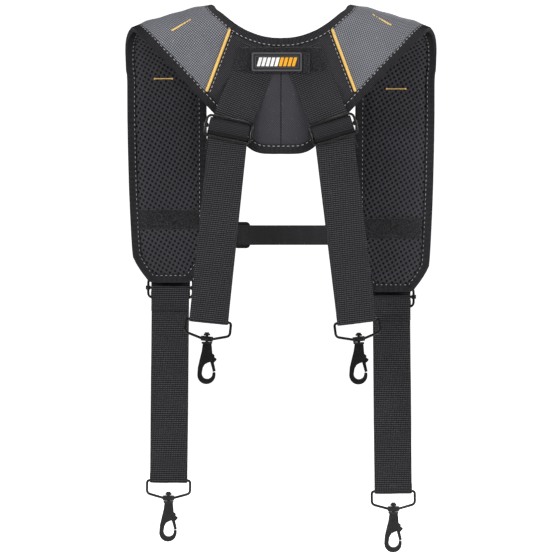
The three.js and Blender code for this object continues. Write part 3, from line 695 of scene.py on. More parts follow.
fine_twill, tree, shader, coords, mask, fleck = cloth_look("fine twill", "#111013", "#5c5b62", 0.8)
line = ribs(tree, coords, 0.0015, 0.75, 0.08)["Height"]
cut = ribs(tree, coords, 0.0012, -0.8, 0.08)["Height"]
both = math_of(tree, "MULTIPLY", line, math_of(tree, "ADD", 0.4, math_of(tree, "MULTIPLY", cut, 0.6)))
tree.links.new(both, mask)
raised(tree, shader, both, 0.5, 0.0004, fleck)
ribbed_twill = {}
for side in SIDES:
    ribbed_twill[side], tree, shader, coords, mask, fleck = cloth_look(
        f"ribbed twill {side:+d}", "#0c0b0d", "#4e4d52", 0.85)
    line = ribs(tree, coords, 0.0017, 0.85 * side, 0.08)
    tree.links.new(line["Mask"], mask)
    raised(tree, shader, line["Height"], 0.6, 0.0005, fleck)


def band_line(x, z):
    """How far outside the middle line of the sewn webbing a point of the back is."""
    return x - 0.0646 + 0.404 * (z + 0.134)


# Amber thread: fine fibre noise and slow patches mix a deep amber with a pale yellow. The pale yellow is
# partly the yarn's own uneven tone and partly a painted highlight of the twisted cord.
amber_look, tree, shader = new_material("amber thread")
place = add(tree, "ShaderNodeTexCoord").outputs["Object"]
fibre = add(tree, "ShaderNodeTexNoise", {"Vector": place, "Scale": 1200.0, "Detail": 2.0})
slow_tone_and_highlight = add(tree, "ShaderNodeTexNoise", {"Vector": place, "Scale": 60.0})
share = math_of(tree, "ADD", math_of(tree, "MULTIPLY", fibre.outputs["Fac"], 0.6),
                math_of(tree, "MULTIPLY", slow_tone_and_highlight.outputs["Fac"], 0.4))
amber = add(tree, "ShaderNodeMix", {0: share, 6: colour("#d89f3c"), 7: colour("#ffe28e")}, data_type="RGBA")
tree.links.new(amber.outputs[2], shader.inputs["Base Color"])
tree.links.new(math_of(tree, "ADD", 0.4, math_of(tree, "MULTIPLY", share, 0.3)), shader.inputs["Roughness"])
raised(tree, shader, fibre.outputs["Fac"], 0.4, 0.0003)


def twisted_cord(name, places, normals, radius, strands, pitch, material):
    """Strands laid round each other along a line."""
    places, normals = np.asarray(places), np.asarray(normals)
    along = np.gradient(places, axis=0)
    along /= np.linalg.norm(along, axis=1)[:, None]
    at = run_along(places)
    aside = np.cross(along, normals)
    points, faces, sides = [], [], 8
    ends = np.sqrt(np.clip(np.minimum(at, at[-1] - at) / (radius * 0.8), 0.02, 1))
    for strand in range(strands):
        phase = 2 * math.pi * (at / pitch + strand / strands)
        core = places + (aside * np.cos(phase)[:, None] + normals * np.sin(phase)[:, None]) * radius * 0.45
        base = len(points)
        for p, u, v, size in zip(core, aside, normals, ends):
            for k in range(sides):
                a = 2 * math.pi * k / sides
                points.append(p + (u * math.cos(a) + v * math.sin(a)) * radius * 0.6 * size)
        for r in range(len(core) - 1):
            for k in range(sides):
                q, w = base + r * sides, (k + 1) % sides
                faces.append((q + k, q + w, q + sides + w, q + sides + k))
        last = base + (len(core) - 1) * sides
        faces += [tuple(range(base, base + sides))[::-1], tuple(range(last, last + sides))]
    return mesh_object(name, points, faces, material)


def tack(name, start, end, side, top):
    """A bar of close zigzag stitches with a knot at each end."""
    a, b = np.array(start), np.array(end)
    along = b - a
    length = np.linalg.norm(along)
    across = np.array([-along[1], along[0]]) / length
    count = int(length / 0.00045)
    runs = []
    for i in range(count + 1):
        p = a + along * i / count
        knot = i < 4 or i > count - 4
        swing = (0.0014 if top else 0.0009) * (1.25 if knot else 1)
        ends = [p - across * swing, p + across * swing + along / count * 0.5]
        bar, _ = even_line(ends, 0.0004)
        low, out = sewn_line(bar[:, 0], bar[:, 1], side, top, 0.0004 if knot else 0)
        runs.append((low, out, 0.0028))
    obj = stitches(name, runs, 0.0026, 0.00075, amber_look, 0.3)
    over_the_shoulders(obj)


TACKS = {
    "tack_left": (spread(0.136, -0.0106), spread(0.113, 0.0034), -1, True),
    "tack_right": (spread(0.1145, 0.0105), spread(0.137, -0.003), 1, True),
    "tack_lining_left": (spread_front(0.163, -0.062), spread_front(0.139, -0.062), -1, False),
    "tack_lining_right": (spread_front(0.135, -0.075), spread_front(0.1606, -0.075), 1, False),
}
for side, name in SIDES.items():
    panel(side)
    cover_panel("centre_panel", side, lambda x, z: band_line(x, z) < 0, fine_twill)
    cover_panel("side_panel", side, lambda x, z: band_line(x, z) > 0, ribbed_twill[side])
    line, _ = even_line(PIPING, 0.0006)
    low, out = sewn_line(line[:, 0], line[:, 1], side, True, 0.0006)
    cord = twisted_cord(f"piping_{name}", low, out, 0.0019, 3, 0.0052, amber_look)
    over_the_shoulders(cord)
    a, b = line[0], line[-1]
    inward = np.array([b[1] - a[1], a[0] - b[0]]) / np.linalg.norm(b - a) * 0.0042
    low, out = sewn_line(line[:, 0] + inward[0], line[:, 1] + inward[1], side, True, -0.0008)
    seam = stitches(f"piping_stitches_{name}", [(low, out, 0.0056)], 0.0034, 0.0008, white_thread)
    over_the_shoulders(seam)
for name, tack_facts in TACKS.items():
    tack(name, *tack_facts)

# ---------------------------------------------------------------- keeper bands
# A band of hook-and-loop tape is sewn across each lining near its foot, ribbed at one end and fuzzy at
# the other, so a tail of webbing can be tucked behind it.
fuzzy, tree, shader, coords, mask, fleck = cloth_look("loop tape", "#100f11", "#48474b", 0.98)
shader.inputs["Sheen Weight"].default_value = 0.2
pile = add(tree, "ShaderNodeTexNoise",
           {"Vector": add(tree, "ShaderNodeTexCoord").outputs["Object"], "Scale": 620.0,
                                        "Detail": 4.0, "Roughness": 0.7})
tree.links.new(add(tree, "ShaderNodeMapRange",
                   {"Value": pile.outputs["Fac"], "From Min": 0.45, "From Max": 0.75}
                   ).outputs[0], mask)
raised(tree, shader, pile.outputs["Fac"], 0.9, 0.0012, fleck)


def keeper(side):
    """A band that bows over the swollen lining and is sewn down at its two ends."""
    low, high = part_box(f"keeper_{SIDES[side]}")
    middle, half = (low.x + high.x) / 2, (high.x - low.x) / 2 + 0.004
    across, up = np.meshgrid(np.linspace(-1, 1, 121), np.linspace(0, 1, 29), indexing="ij")
    x, z = middle + half * across, low.z + (high.z - low.z) * up
    s, t = spread_front(side * x, z)
    inset = from_edge(s, t, side)
    rib = 0.00012 * np.sin(2 * math.pi * across * half / 0.0024) * (across * side < 0.1)
    rim = np.minimum(up, 1 - up) * (high.z - low.z)
    height = inner_height(s, t, inset) - 0.0007 - 0.0006 * eased(rim, 0, 0.0015) - rib
    faces = grid_faces(*x.shape)
    obj = mesh_object(f"keeper_band_{SIDES[side]}", laid(s, t, height, side).reshape(-1, 3),
                      faces[:, ::-1] if side > 0 else faces, fuzzy, np.stack([s, t], -1).reshape(-1, 2))
    shell = obj.modifiers.new("thickness", "SOLIDIFY")
    shell.thickness, shell.offset = 0.0009, 1
    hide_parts(f"keeper_{SIDES[side]}")
    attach(obj, "front_panels")


for side in SIDES:
    keeper(side)

# ---------------------------------------------------------------- webbing straps
# Four straps of heavy ribbed webbing. Each is sewn to the pad, runs down in front of its adjuster, turns
# round the hook's bail, comes up behind, and is sewn round the adjuster's bar. The two at the back
# spread from the neck in a V.
WEBBING = {"half": 0.02425, "thick": 0.0016, "row": 0.0025, "dash": 0.0031, "drift": 0.07}
WIRE, GAP = 0.00175, 0.0003
RING = WIRE + GAP + WEBBING["thick"] / 2
BAR_DEPTH = 2 * WEBBING["thick"] + 2 * GAP + WIRE
ON_PAD = BAR_DEPTH + RING
JOINTS = {joint["name"]: joint for joint in frame["joints"]}

WEAVE, weave_in, weave_out = new_group(
    "webbing weave",
    [("Vector", "Vector", None), ("Row", "Float", 0.00225), ("Dash", "Float", 0.007),
     ("Drift", "Float", 0.085),
     ("Share", "Float", 0.70)],
    [("Height", "Float"), ("Mask", "Float")],
)
apart = add(WEAVE, "ShaderNodeSeparateXYZ", {0: weave_in["Vector"]}).outputs
rows = math_of(WEAVE, "DIVIDE", apart[1], weave_in["Row"])
number = math_of(WEAVE, "FLOOR", rows)
crest = math_of(WEAVE, "SINE", math_of(WEAVE, "MULTIPLY", math_of(WEAVE, "SUBTRACT", rows, number), math.pi))
uneven = add(WEAVE, "ShaderNodeTexWhiteNoise", {"W": number}, noise_dimensions="1D").outputs["Value"]
shift = math_of(WEAVE, "ADD", math_of(WEAVE, "MULTIPLY", number, weave_in["Drift"]),
                math_of(WEAVE, "MULTIPLY", uneven, 0.12))
dashes = math_of(WEAVE, "FRACT",
                 math_of(WEAVE, "ADD", math_of(WEAVE, "DIVIDE", apart[0], weave_in["Dash"]), shift))
middle = math_of(WEAVE, "ABSOLUTE", math_of(WEAVE, "SUBTRACT", dashes, 0.5))
inside = math_of(WEAVE, "MULTIPLY", weave_in["Share"], 0.5)
dash = add(WEAVE, "ShaderNodeMapRange", {"Value": middle, "From Min": inside, "From Max": math_of(
    WEAVE, "ADD", inside, 0.1), "To Min": 1.0, "To Max": 0.0}, interpolation_type="SMOOTHSTEP").outputs[0]
WEAVE.links.new(math_of(WEAVE, "MULTIPLY", crest,
                        math_of(WEAVE, "ADD", 0.6, math_of(WEAVE, "MULTIPLY", dash, 0.4))),
                weave_out["Height"])
WEAVE.links.new(math_of(WEAVE, "MULTIPLY", math_of(WEAVE, "POWER", crest, 5.0), dash), weave_out["Mask"])


def webbing_look(name, base, light, rows_across):
    """Webbing whose rows stand this many times as far apart as the straps' do."""
    material, tree, shader, coords, mask, fleck = cloth_look(name, base, light, 0.72)
    shader.inputs["Sheen Weight"].default_value = 0.05
    weave = add(tree, "ShaderNodeGroup", {"Vector": coords, "Row": WEBBING["row"] * rows_across,
                                          "Dash": WEBBING["dash"] * rows_across, "Drift": WEBBING["drift"]},
                node_tree=WEAVE)
    yarns = ribs(tree, coords, 0.00085, math.pi / 2, 0.05)["Height"]
    shine = math_of(tree, "ADD", 0.45, math_of(tree, "MULTIPLY", yarns, 0.55))
    lit = math_of(tree, "MULTIPLY", weave.outputs["Mask"], shine)
    ground = math_of(tree, "MULTIPLY", weave.outputs["Height"], 0.14)
    tree.links.new(math_of(tree, "MAXIMUM", lit, ground), mask)
    raised(tree, shader, weave.outputs["Height"], 0.7, 0.0006, fleck)
    return material


webbing_cloth = webbing_look("strap webbing", "#050406", "#535257", 1.0)


def woven(name, stations, half, thick, material, row=WEBBING["row"], relief=0.00022, across=33):
    """Webbing along stations of (middle, direction across, direction out), its ribs and dashes raised."""
    middles, sides, outs = (np.array(part, float) for part in zip(*stations))
    length = run_along(middles)
    at = np.arange(0, length[-1] + row / 4, row / 2)
    spread_to = lambda values: np.stack([np.interp(at, length, values[:, k]) for k in range(3)], -1)
    middles, sides, outs = spread_to(middles), spread_to(sides), spread_to(outs)
    sides /= np.linalg.norm(sides, axis=1)[:, None]
    outs /= np.linalg.norm(outs, axis=1)[:, None]
    a = np.sin(np.linspace(-math.pi / 2, math.pi / 2, across) * 0.98)
    a /= a[-1]
    depth = thick / 2 * np.sqrt(np.clip(1 - np.abs(a) ** 14, 0.03, 1))
    u, v = np.meshgrid(a * half, at)
    number = np.floor(v / row)
    up = np.where(np.arange(len(at)) % 2, 1.0, 0.0)[:, None]
    dash = np.abs(np.mod(u / WEBBING["dash"] + number * WEBBING["drift"], 1) - 0.5) < 0.27
    lift = relief * (up * (0.6 + 0.4 * dash) - 0.5) * (1 - np.abs(a) ** 8)[None, :]
    lift += 0.00018 * ripple(u, v, 0.034, 4)
    ends = np.clip(np.minimum(at, at[-1] - at) / (thick * 0.6), 0.3, 1)[:, None]
    flat = middles[:, None] + sides[:, None] * u[..., None]
    place = lambda height: flat + outs[:, None] * height[..., None]
    top, low = place(depth[None] * ends + lift), place(-depth[None] * ends + lift)
    points = np.concatenate([top, low[:, ::-1]], 1)
    n, m = points.shape[:2]
    uv = np.stack([np.concatenate([u, u[:, ::-1]], 1), np.concatenate([v, v], 1)], -1)
    i, j = np.meshgrid(np.arange(n - 1), np.arange(m), indexing="ij")
    k = (j + 1) % m
    faces = np.stack([i * m + j, i * m + k, (i + 1) * m + k, (i + 1) * m + j], -1).reshape(-1, 4).tolist()
    faces += [list(range(m))[::-1], [(n - 1) * m + j for j in range(m)]]
    obj = mesh_object(name, points.reshape(-1, 3), faces, material, uv.reshape(-1, 2))
    if np.dot(np.cross(sides[0], middles[1] - middles[0]), outs[0]) < 0:
        obj.data.flip_normals()
    return obj


class Strap:
    """Where a strap's parts lie: the adjuster's bar, the way down, and how far the adjuster is cocked."""

    def __init__(self, name, band, sewn):
        bar = [(a + b) / 2 for a, b in zip(*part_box(f"{name}_slider_bar"))]
        rear = name.startswith("back")
        self.name = name
        self.down = Vector(JOINTS[f"{name}_adjust"]["axis"])
        self.bail = Vector(JOINTS[f"{name}_bail_swing"]["pos_m"])
        self.inward = Vector((0, 1 if rear else -1, 0))
        self.origin = Vector((bar[0], self.bail.y, bar[2])) - self.inward * BAR_DEPTH
        self.cocked = Vector(JOINTS[f"{name}_bar_slide"]["axis"])
        self.run = (self.bail - self.origin).dot(self.down)
        self.band, self.sewn = band, sewn
        self.parent = "root" if rear else "front_panels"

    def place(self, up, depth, along=None):
        """A point so far from the adjuster's bar, up the strap or along, and so deep towards the body."""
        return self.origin + (along or -self.down) * up + self.inward * depth


def front_layer(strap):
    """The webbing from its sewn top, over the adjuster and down to the bail, and round it."""
    lean = math.atan2(-strap.down.x, -strap.down.z)
    band = math.radians(strap.band)
    near = 0.0007
    ups = [strap.sewn, 0.060, 0.040, 0.020, 0.0, -0.020, -0.060, -strap.run + 0.040, -strap.run + 0.008,
           -strap.run]
    depths = [ON_PAD, ON_PAD, ON_PAD / 2, near, near, near, near, near, BAR_DEPTH - RING, BAR_DEPTH - RING]
    turns = [band] * 4 + [(band + lean) / 2] + [lean] * 5
    at = np.arange(strap.sewn, -strap.run, -0.001)
    pick = lambda values: np.interp(-at, [-u for u in ups], values)
    window = np.ones(15) / 15
    soft = lambda values: np.convolve(np.pad(values, 7, mode="edge"), window, "valid")
    depth, turn = soft(pick(depths)), soft(pick(turns))
    x = soft(np.where(at > 0, at * math.sin(band), at * math.sin(lean)))
    z = np.where(at > 0, at * math.cos(band), at * math.cos(lean))
    stations = []
    for i in range(len(at)):
        middle = Vector((strap.origin.x + x[i], strap.origin.y,
                         strap.origin.z + z[i])) + strap.inward * depth[i]
        along = Vector((math.sin(turn[i]), 0, math.cos(turn[i])))
        stations.append((middle, strap.inward.cross(along), -strap.inward))
    along = -strap.down
    across = strap.inward.cross(along)
    for a in np.linspace(0, math.pi, 13):
        out = -strap.inward * math.cos(a) + strap.down * math.sin(a)
        stations.append((strap.bail + out * RING, across, out))
    stations.append((strap.place(-strap.run + 0.010, ON_PAD), across, strap.inward))
    obj = woven(f"{strap.name}_strap_front", stations, WEBBING["half"], WEBBING["thick"] - 0.0002,
                webbing_cloth)
    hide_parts(f"{strap.name}_webbing_upper", f"{strap.name}_webbing_lower")
    strap.place(-0.020, 0)
    strap.place(0.015 - strap.run, 0)
    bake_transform(obj)


def back_layer(strap):
    """The webbing from the bail up behind to the tail sewn round the adjuster's bar."""
    across = strap.inward.cross(-strap.down)
    ups = np.arange(-strap.run + 0.004, -0.026, 0.001)
    depth = ON_PAD - 0.0022 * eased(ups, -0.110, -0.088)
    stations = [(strap.place(up, d), across, strap.inward) for up, d in zip(ups, depth)]
    obj = woven(f"{strap.name}_strap_back", stations, WEBBING["half"] - 0.0003, WEBBING["thick"],
                webbing_cloth)
    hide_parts(f"{strap.name}_webbing_lower")
    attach(obj, f"{strap.name}_strap")
    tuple(strap.down)
    strap.place(-strap.run, 0)
    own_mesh(obj)


def bar_wrap(strap):
    """The tail of the webbing round the adjuster's bar, doubled and sewn."""
    across = strap.inward.cross(strap.cocked)
    put = lambda up, depth: strap.place(up, depth, along=strap.cocked)
    stations = [(put(up, ON_PAD), across, strap.inward) for up in np.arange(-0.030, -0.001, 0.002)]
    for a in np.linspace(0, math.pi, 13):
        out = strap.inward * math.cos(a) + strap.cocked * math.sin(a)
        stations.append((put(0, BAR_DEPTH) + out * RING, across, out))
    stations += [(put(-up, BAR_DEPTH - RING), across, -strap.inward)
                 for up in np.arange(0.002, 0.0141, 0.002)]
    obj = woven(f"{strap.name}_bar_wrap", stations, WEBBING["half"], WEBBING["thick"], webbing_cloth)
    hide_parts(f"{strap.name}_webbing_return")
    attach(obj, f"{strap.name}_bar")
    runs = []
    for up in (-0.0285, -0.0240):
        line = [put(up, ON_PAD + 0.0010) + across * a for a in np.linspace(-0.0215, 0.0215, 60)]
        runs.append((line, [strap.inward] * 60, 0.0042))
    seam = stitches(f"{strap.name}_bar_seam", runs, 0.0032, 0.0007, black_thread)
    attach(seam, f"{strap.name}_bar")


def directions(line):
    """The direction of a line at each of its points, from the point before to the point after."""
    steps = [line[min(i + 1, len(line) - 1)] - line[max(i - 1, 0)] for i in range(len(line))]
    return [Vector((*step, 0)).normalized() for step in steps]


def window_patch(strap):
    """The webbing that stands out through the adjuster's window, with a tuck over the lower bar whose darker
    webbing is painted shade.
    """
    across = strap.inward.cross(strap.cocked)
    puff = smooth_line([(0.0106, 0.0006), (0.0088, -0.0012), (0.0055, -0.0030), (0.0005, -0.0038),
                        (-0.0040, -0.0030),
                        (-0.0062, -0.0014), (-0.0066, 0.0004)], 6)
    stations = []
    for (up, depth), way in zip(puff, directions(puff)):
        out = (strap.cocked * way.x + strap.inward * way.y).cross(across)
        if out.dot(strap.inward) > 0:
            out = -out
        stations.append((strap.place(up, depth, along=strap.cocked), across, out))
    patch = woven(f"{strap.name}_window", stations, 0.0252, 0.0012, patch_cloth, row=0.0017)
    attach(patch, f"{strap.name}_slider")
    tuck = [(-0.0050, 0.0002), (-0.0068, -0.0012), (-0.0088, -0.0016), (-0.0104, -0.0006), (-0.0112, 0.0004)]
    tuck = smooth_line(tuck, 5)
    stations = [(strap.place(up, depth, along=strap.cocked), across, -strap.inward) for up, depth in tuck]
    # The tuck's darker webbing paints the shade under the puffed patch.
    fold = woven(f"{strap.name}_tuck", stations, 0.0254, 0.0012, shaded_tuck_cloth, row=0.0012, relief=0.00005)
    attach(fold, f"{strap.name}_slider")


patch_cloth = webbing_look("window webbing", "#080709", "#434247", 0.8)
# The tucked webbing is a darker copy of the strap webbing: painted shade for the shadow under the puffed
# patch.
shaded_tuck_cloth = webbing_look("painted shade webbing", "#0b0b0c", "#1d1c1f", 0.6)
black_thread = thread_look("black thread", "#0e0d0f", "#2a292c")

STRAPS = [Strap("back_left", 22, 0.108), Strap("back_right", -22, 0.108), Strap("front_left", 0, 0.240),
          Strap("front_right", 0, 0.240)]
for strap in STRAPS:
    front_layer(strap)
    back_layer(strap)
    bar_wrap(strap)
    window_patch(strap)

# ---------------------------------------------------------------- adjusters, bails and hooks
# Bent and welded steel wire, and cast steel hooks, all under one glossy black finish that has worn
# through a little at the corners. The trigger turns on a rivet and a small bright spring shuts it.
WORN, worn_in, worn_out = new_group(
    "worn finish",
    [("Vector", "Vector", None), ("Wear", "Float", 0.5), ("Base Roughness", "Float", 0.25)],
    [("Mask", "Float"), ("Roughness", "Float"), ("Height", "Float")],
)
edges = add(WORN, "ShaderNodeNewGeometry").outputs["Pointiness"]
scuffs = add(WORN, "ShaderNodeTexNoise", {"Vector": worn_in["Vector"], "Scale": 420.0, "Detail": 3.0})
peel = add(WORN, "ShaderNodeTexNoise", {"Vector": worn_in["Vector"], "Scale": 1100.0, "Detail": 1.0})
edge = add(WORN, "ShaderNodeMapRange", {"Value": edges, "From Min": 0.53, "From Max": 0.62}).outputs[0]
rubbed = math_of(WORN, "MULTIPLY", math_of(WORN, "MULTIPLY", edge, worn_in["Wear"]),
                 add(WORN, "ShaderNodeMapRange",
                     {"Value": scuffs.outputs["Fac"], "From Min": 0.42, "From Max": 0.6}
                     ).outputs[0])
WORN.links.new(rubbed, worn_out["Mask"])
WORN.links.new(math_of(WORN, "ADD", worn_in["Base Roughness"],
                       math_of(WORN, "MULTIPLY", scuffs.outputs["Fac"], 0.14)),
               worn_out["Roughness"])
WORN.links.new(peel.outputs["Fac"], worn_out["Height"])


def finish_look(name, base, bare, metallic, roughness, wear, coat):
    """A glossy or moulded finish, worn at its corners."""
    material, tree, shader = new_material(name)
    place = add(tree, "ShaderNodeTexCoord").outputs["Object"]
    worn = add(tree, "ShaderNodeGroup", {"Vector": place, "Wear": wear, "Base Roughness": roughness},
               node_tree=WORN)
    mix = add(tree, "ShaderNodeMix", {0: worn.outputs["Mask"], 6: colour(base), 7: colour(bare)},
              data_type="RGBA")
    tree.links.new(mix.outputs[2], shader.inputs["Base Color"])
    tree.links.new(worn.outputs["Roughness"], shader.inputs["Roughness"])
    shader.inputs["Metallic"].default_value = metallic
    shader.inputs["Coat Weight"].default_value = coat
    shader.inputs["Coat Roughness"].default_value = 0.12
    shader.inputs["Specular IOR Level"].default_value = 0.2
    raised(tree, shader, worn.outputs["Height"], 0.25, 0.0001)
    return material


black_steel = finish_look("black steel", "#070708", "#4a4a4e", 0.0, 0.22, 0.6, 0.45)
spring_steel = finish_look("spring steel", "#9a9a9e", "#d0d0d2", 1.0, 0.25, 0.5, 0.0)


def finished(node, material, bevel=0.0, levels=0):
    """A CAD node with its facets rounded and its finish on."""
    obj = frame["nodes"][node]
    obj.data.materials.clear()
    obj.data.materials.append(material)
    weld = obj.modifiers.new("joined corners", "WELD")
    weld.merge_threshold = 1e-5
    if bevel:
        round_off = obj.modifiers.new("rounded corners", "BEVEL")
        round_off.width, round_off.segments, round_off.limit_method = bevel, 3, "ANGLE"
        round_off.angle_limit = math.radians(35)
    if levels:
        soften = obj.modifiers.new("round wire", "SUBSURF")
        soften.levels = soften.render_levels = levels
    obj.data.shade_smooth()
    obj.modifiers.new("even shading", "WEIGHTED_NORMAL")


for strap in STRAPS:
    finished(f"{strap.name}_slider_frame", black_steel, levels=2)
    finished(f"{strap.name}_slider_bar", black_steel, bevel=0.0004)
    finished(f"{strap.name}_bail", black_steel, bevel=0.0004)
    finished(f"{strap.name}_hook_body", black_steel, bevel=0.0006)
    finished(f"{strap.name}_gate", black_steel, bevel=0.0004)
    finished(f"{strap.name}_gate_pin", black_steel, bevel=0.0002)
    finished(f"{strap.name}_gate_spring", spring_steel, levels=1)

# ---------------------------------------------------------------- chest strap and buckle
# A narrow strap of plain webbing, sewn under each front's webbing, joins the two fronts with a moulded
# side-release buckle. The strap goes through the plug's slot and is sewn back on itself.
plastic = finish_look("buckle plastic", "#121214", "#2c2c30", 0.0, 0.42, 0.5, 0.0)
chest_cloth = webbing_look("chest webbing", "#101012", "#3f3e42", 0.55)


def chest_piece(name, node, line, body=None):
    """A length of the chest strap along points (x, y), at the height of its CAD solid."""
    low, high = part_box(node)
    z, line = (low.z + high.z) / 2, smooth_line(line, 6)
    stations = [(Vector((*point, z)), Vector((0, 0, 1)), Vector((-along.y, along.x, 0)))
                for point, along in zip(line, directions(line))]
    obj = woven(name, stations, (high.z - low.z) / 2, 0.0015, chest_cloth, row=0.0013, relief=0.0001,
                across=21)
    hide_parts(node)
    if body:
        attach(obj, body)
    return obj


strap_box, anchor_box, plug_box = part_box("chest_strap"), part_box("chest_anchor"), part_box("buckle_plug")
strap_y, plug_end = (strap_box[0].y + strap_box[1].y) / 2, plug_box[1].x
threaded = [(plug_end - 0.016, plug_box[0].y - 0.0002), (plug_end - 0.010, plug_box[0].y - 0.0012),
            (plug_end - 0.003, plug_box[0].y - 0.0010), (plug_end + 0.003, plug_box[0].y + 0.0012),
            (plug_end + 0.012, strap_y - 0.0010), (plug_end + 0.030, strap_y)]
threaded += [(x, strap_y + 0.0005 * math.sin(x * 60)) for x in np.arange(0.005, strap_box[1].x, 0.02)]
threaded += [(strap_box[1].x, strap_y)]
chest = chest_piece("chest_strap_right", "chest_strap", threaded)
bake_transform(chest)
returned = [(plug_end - 0.016, plug_box[1].y + 0.0002), (plug_end - 0.010, plug_box[1].y + 0.0012),
            (plug_end - 0.003, plug_box[1].y + 0.0010), (plug_end + 0.005, plug_box[1].y - 0.0012),
            (plug_end + 0.016, strap_y + 0.0020), (plug_end + 0.034, strap_y + 0.0017)]
tail = chest_piece("chest_strap_tail", "chest_strap", returned)
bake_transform(tail)
anchored = [(x, strap_y) for x in np.linspace(anchor_box[0].x, anchor_box[1].x, 6)]
chest_piece("chest_strap_left", "chest_anchor", anchored, "front_panels")
for node in ("buckle_socket", "buckle_plug"):
    finished(node, plastic, bevel=0.0009)

# ---------------------------------------------------------------- hanger and label
# A patch of loop tape is sewn across both webbing bands. A strip of hook tape is rolled over at one
# end to hinge on it, and carries a moulded rubber label with a raised rim and plain slanted bars.
def cloth_block(name, outline, y_front, thick, material, body, nodes, bulge=0.0008):
    """A soft-edged flat piece with the given outline, seen from behind the wearer."""
    bm = bmesh.new()
    corners = [bm.verts.new((x, y_front, z)) for x, z in outline]
    face = bm.faces.new(corners)
    grown = bmesh.ops.extrude_face_region(bm, geom=[face])
    moved = [v for v in grown["geom"] if isinstance(v, bmesh.types.BMVert)]
    bmesh.ops.translate(bm, verts=moved, vec=(0, thick, 0))
    bmesh.ops.recalc_face_normals(bm, faces=bm.faces)
    mesh = bpy.data.meshes.new(name)
    bm.to_mesh(mesh)
    bm.free()
    mesh.materials.append(material)
    obj = bpy.data.objects.new(name, mesh)
    bpy.context.collection.objects.link(obj)
    round_off = obj.modifiers.new("soft edge", "BEVEL")
    round_off.width, round_off.segments = bulge, 4
    mesh.shade_smooth()
    obj.modifiers.new("even shading", "WEIGHTED_NORMAL")
    if nodes:
        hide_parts(*nodes)
    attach(obj, body)
    return obj


def pile_patch(name, outline, y_face, body, nodes, depth):
    """A fuzzy sheet over an outline: a fine grid with an uneven pile, closed at its back."""
    outline = np.array(outline)
    low, high = outline.min(0), outline.max(0)
    step = 0.0008
    x, z = np.meshgrid(np.arange(low[0], high[0] + step, step), np.arange(low[1], high[1] + step, step),
                       indexing="ij")
    inside, best = np.zeros(x.shape, bool), np.full(x.shape, 9.0)
    for p, q in zip(outline, np.roll(outline, -1, 0)):
        if p[1] != q[1]:
            crosses = (z > min(p[1], q[1])) & (z <= max(p[1], q[1]))
            inside ^= crosses & (x < p[0] + (z - p[1]) / (q[1] - p[1]) * (q[0] - p[0]))
        along = q - p
        k = np.clip(((x - p[0]) * along[0] + (z - p[1]) * along[1]) / (along @ along), 0, 1)
        best = np.minimum(best, np.hypot(x - p[0] - k * along[0], z - p[1] - k * along[1]))
    seed = np.random.default_rng(7)
    pile_height = seed.normal(0, 0.00022, x.shape)
    y = y_face + depth * (1 - np.sqrt(np.clip(best / 0.0012, 0, 1))) - pile_height * (best > 0.0008)
    faces = sheet_faces(inside, OUTWARD[1])
    obj = mesh_object(name, np.stack([x, y, z], -1)[inside], faces, fuzzy, np.stack([x, z], -1)[inside])
    shell = obj.modifiers.new("backing", "SOLIDIFY")
    shell.thickness, shell.offset = 0.0006, -1
    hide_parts(*nodes)
    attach(obj, body)
    return obj


tape_low, tape_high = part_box("hanger_tape")
slant = 0.007
pile_patch("loop_patch",
           [(tape_low.x, tape_low.z), (tape_high.x, tape_low.z), (tape_high.x - slant, tape_high.z),
                          (tape_low.x + slant, tape_high.z)], tape_low.y - 0.0002, "root", ["hanger_tape"],
                          0.0010)

flap_low, flap_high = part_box("hanger_flap")
hinge = Vector(JOINTS["hanger_open"]["pos_m"])
roll = 0.0026
profile = [(x, hinge.y + roll - 0.0008) for x in np.arange(flap_low.x, hinge.x - 0.0055, 0.0015)]
profile += [(hinge.x - 0.0045, hinge.y + 0.0010), (hinge.x - 0.0030, hinge.y - 0.0008)]
profile += [(hinge.x + 0.0018 * math.cos(a), hinge.y - 0.0018 * math.sin(a))
            for a in np.linspace(2.0, -1.5, 14)]
profile = smooth_line(profile, 2)
flap_z = (flap_low.z + flap_high.z) / 2
stations = [(Vector((*point, flap_z)), Vector((0, 0, 1)), Vector((along.y, -along.x, 0)))
            for point, along in zip(profile, directions(profile))]
flap_piece = woven("hook_flap", stations, (flap_high.z - flap_low.z) / 2, 0.0015, fuzzy, row=0.0012,
                   relief=0.00016,
                   across=21)
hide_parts("hanger_flap")
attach(flap_piece, "hanger")


def painted(name, code):
    """The label's moulded rubber in one colour: flat, a little uneven, with a fine grain."""
    material, tree, shader = new_material(name)
    fleck = add(tree, "ShaderNodeGroup", {"Vector": add(tree, "ShaderNodeTexCoord").outputs["Object"],
                                          "Grain": 1400.0, "Depth": 0.1, "Base Roughness": 0.45},
                                          node_tree=FLECK)
    tone = add(tree, "ShaderNodeMix", {0: 1.0, 6: colour(code), 7: fleck.outputs["Tone"]}, data_type="RGBA",
               blend_type="MULTIPLY")
    tree.links.new(tone.outputs[2], shader.inputs["Base Color"])
    tree.links.new(fleck.outputs["Roughness"], shader.inputs["Roughness"])
    raised(tree, shader, fleck.outputs["Height"], 0.2, 0.0001)
    return material


rubber, rim_rubber = painted("label rubber", "#19191d"), painted("label rim rubber", "#4a494e")


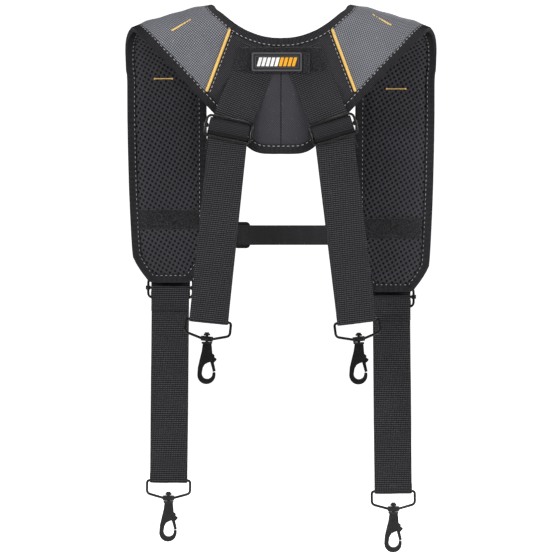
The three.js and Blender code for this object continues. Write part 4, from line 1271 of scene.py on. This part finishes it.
def rounded(low_x, high_x, low_z, high_z, corner, steps=5):
    """A rounded rectangle's corners, as seen from behind the wearer."""
    points = []
    for k, (x, z) in enumerate([(high_x - corner, high_z - corner), (low_x + corner, high_z - corner),
                                (low_x + corner, low_z + corner), (high_x - corner, low_z + corner)]):
        for i in range(steps + 1):
            a = math.pi / 2 * (k + i / steps)
            points.append((x + corner * math.cos(a), z + corner * math.sin(a)))
    return points


patch_low, patch_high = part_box("label_patch")
front_y = patch_low.y
base = cloth_block("label", rounded(patch_low.x, patch_high.x, patch_low.z, patch_high.z, 0.0025),
                   front_y + 0.0008,
                   patch_high.y - front_y - 0.0008, rubber, "hanger", ["label_patch"], 0.0005)


def rim(name, inset, width, rise):
    """A raised frame on the label."""
    outer = rounded(patch_low.x + inset, patch_high.x - inset, patch_low.z + inset, patch_high.z - inset,
                    0.002)
    inner = rounded(patch_low.x + inset + width, patch_high.x - inset - width, patch_low.z + inset + width,
                    patch_high.z - inset - width, 0.0014)
    n = len(outer)
    y_top, y_low = front_y + 0.0009 - rise, front_y + 0.0012
    points = [(x, y, z) for ring,
              y in ((outer, y_low), (outer, y_top), (inner, y_top), (inner, y_low)) for x, z in ring]
    faces = [(r * n + k, r * n + (k + 1) % n, (r + 1) % 4 * n + (k + 1) % n, (r + 1) % 4 * n + k)
             for r in range(4) for k in range(n)]
    obj = mesh_object(name, points, faces, rim_rubber)
    obj.data.flip_normals()
    round_off = obj.modifiers.new("moulded edge", "BEVEL")
    round_off.width, round_off.segments = 0.0002, 2
    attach(obj, "hanger")


rim("label_rim", 0.0006, 0.0016, 0.0008)
rim("label_inner_rim", 0.0046, 0.0006, 0.0004)
mark_white, mark_amber = painted("label white", "#e8e8e6"), painted("label amber", "#eba31c")
BARS = {"count": 9, "white": 5, "wide": 0.0040, "pitch": 0.0054, "slope": 0.0030, "margin": 0.0065}
low_z, high_z = patch_low.z + BARS["margin"], patch_high.z - BARS["margin"]
for k in range(BARS["count"]):
    left = patch_low.x + BARS["margin"] + k * BARS["pitch"]
    right = left + BARS["wide"]
    white = k < BARS["white"]
    outline = [(left, low_z), (right, low_z), (right + BARS["slope"], high_z), (left + BARS["slope"], high_z)]
    bar = cloth_block(f"label_bar_{k}", outline, front_y + 0.0003, 0.0007,
                      mark_white if white else mark_amber,
                      "hanger", [], 0.0002)
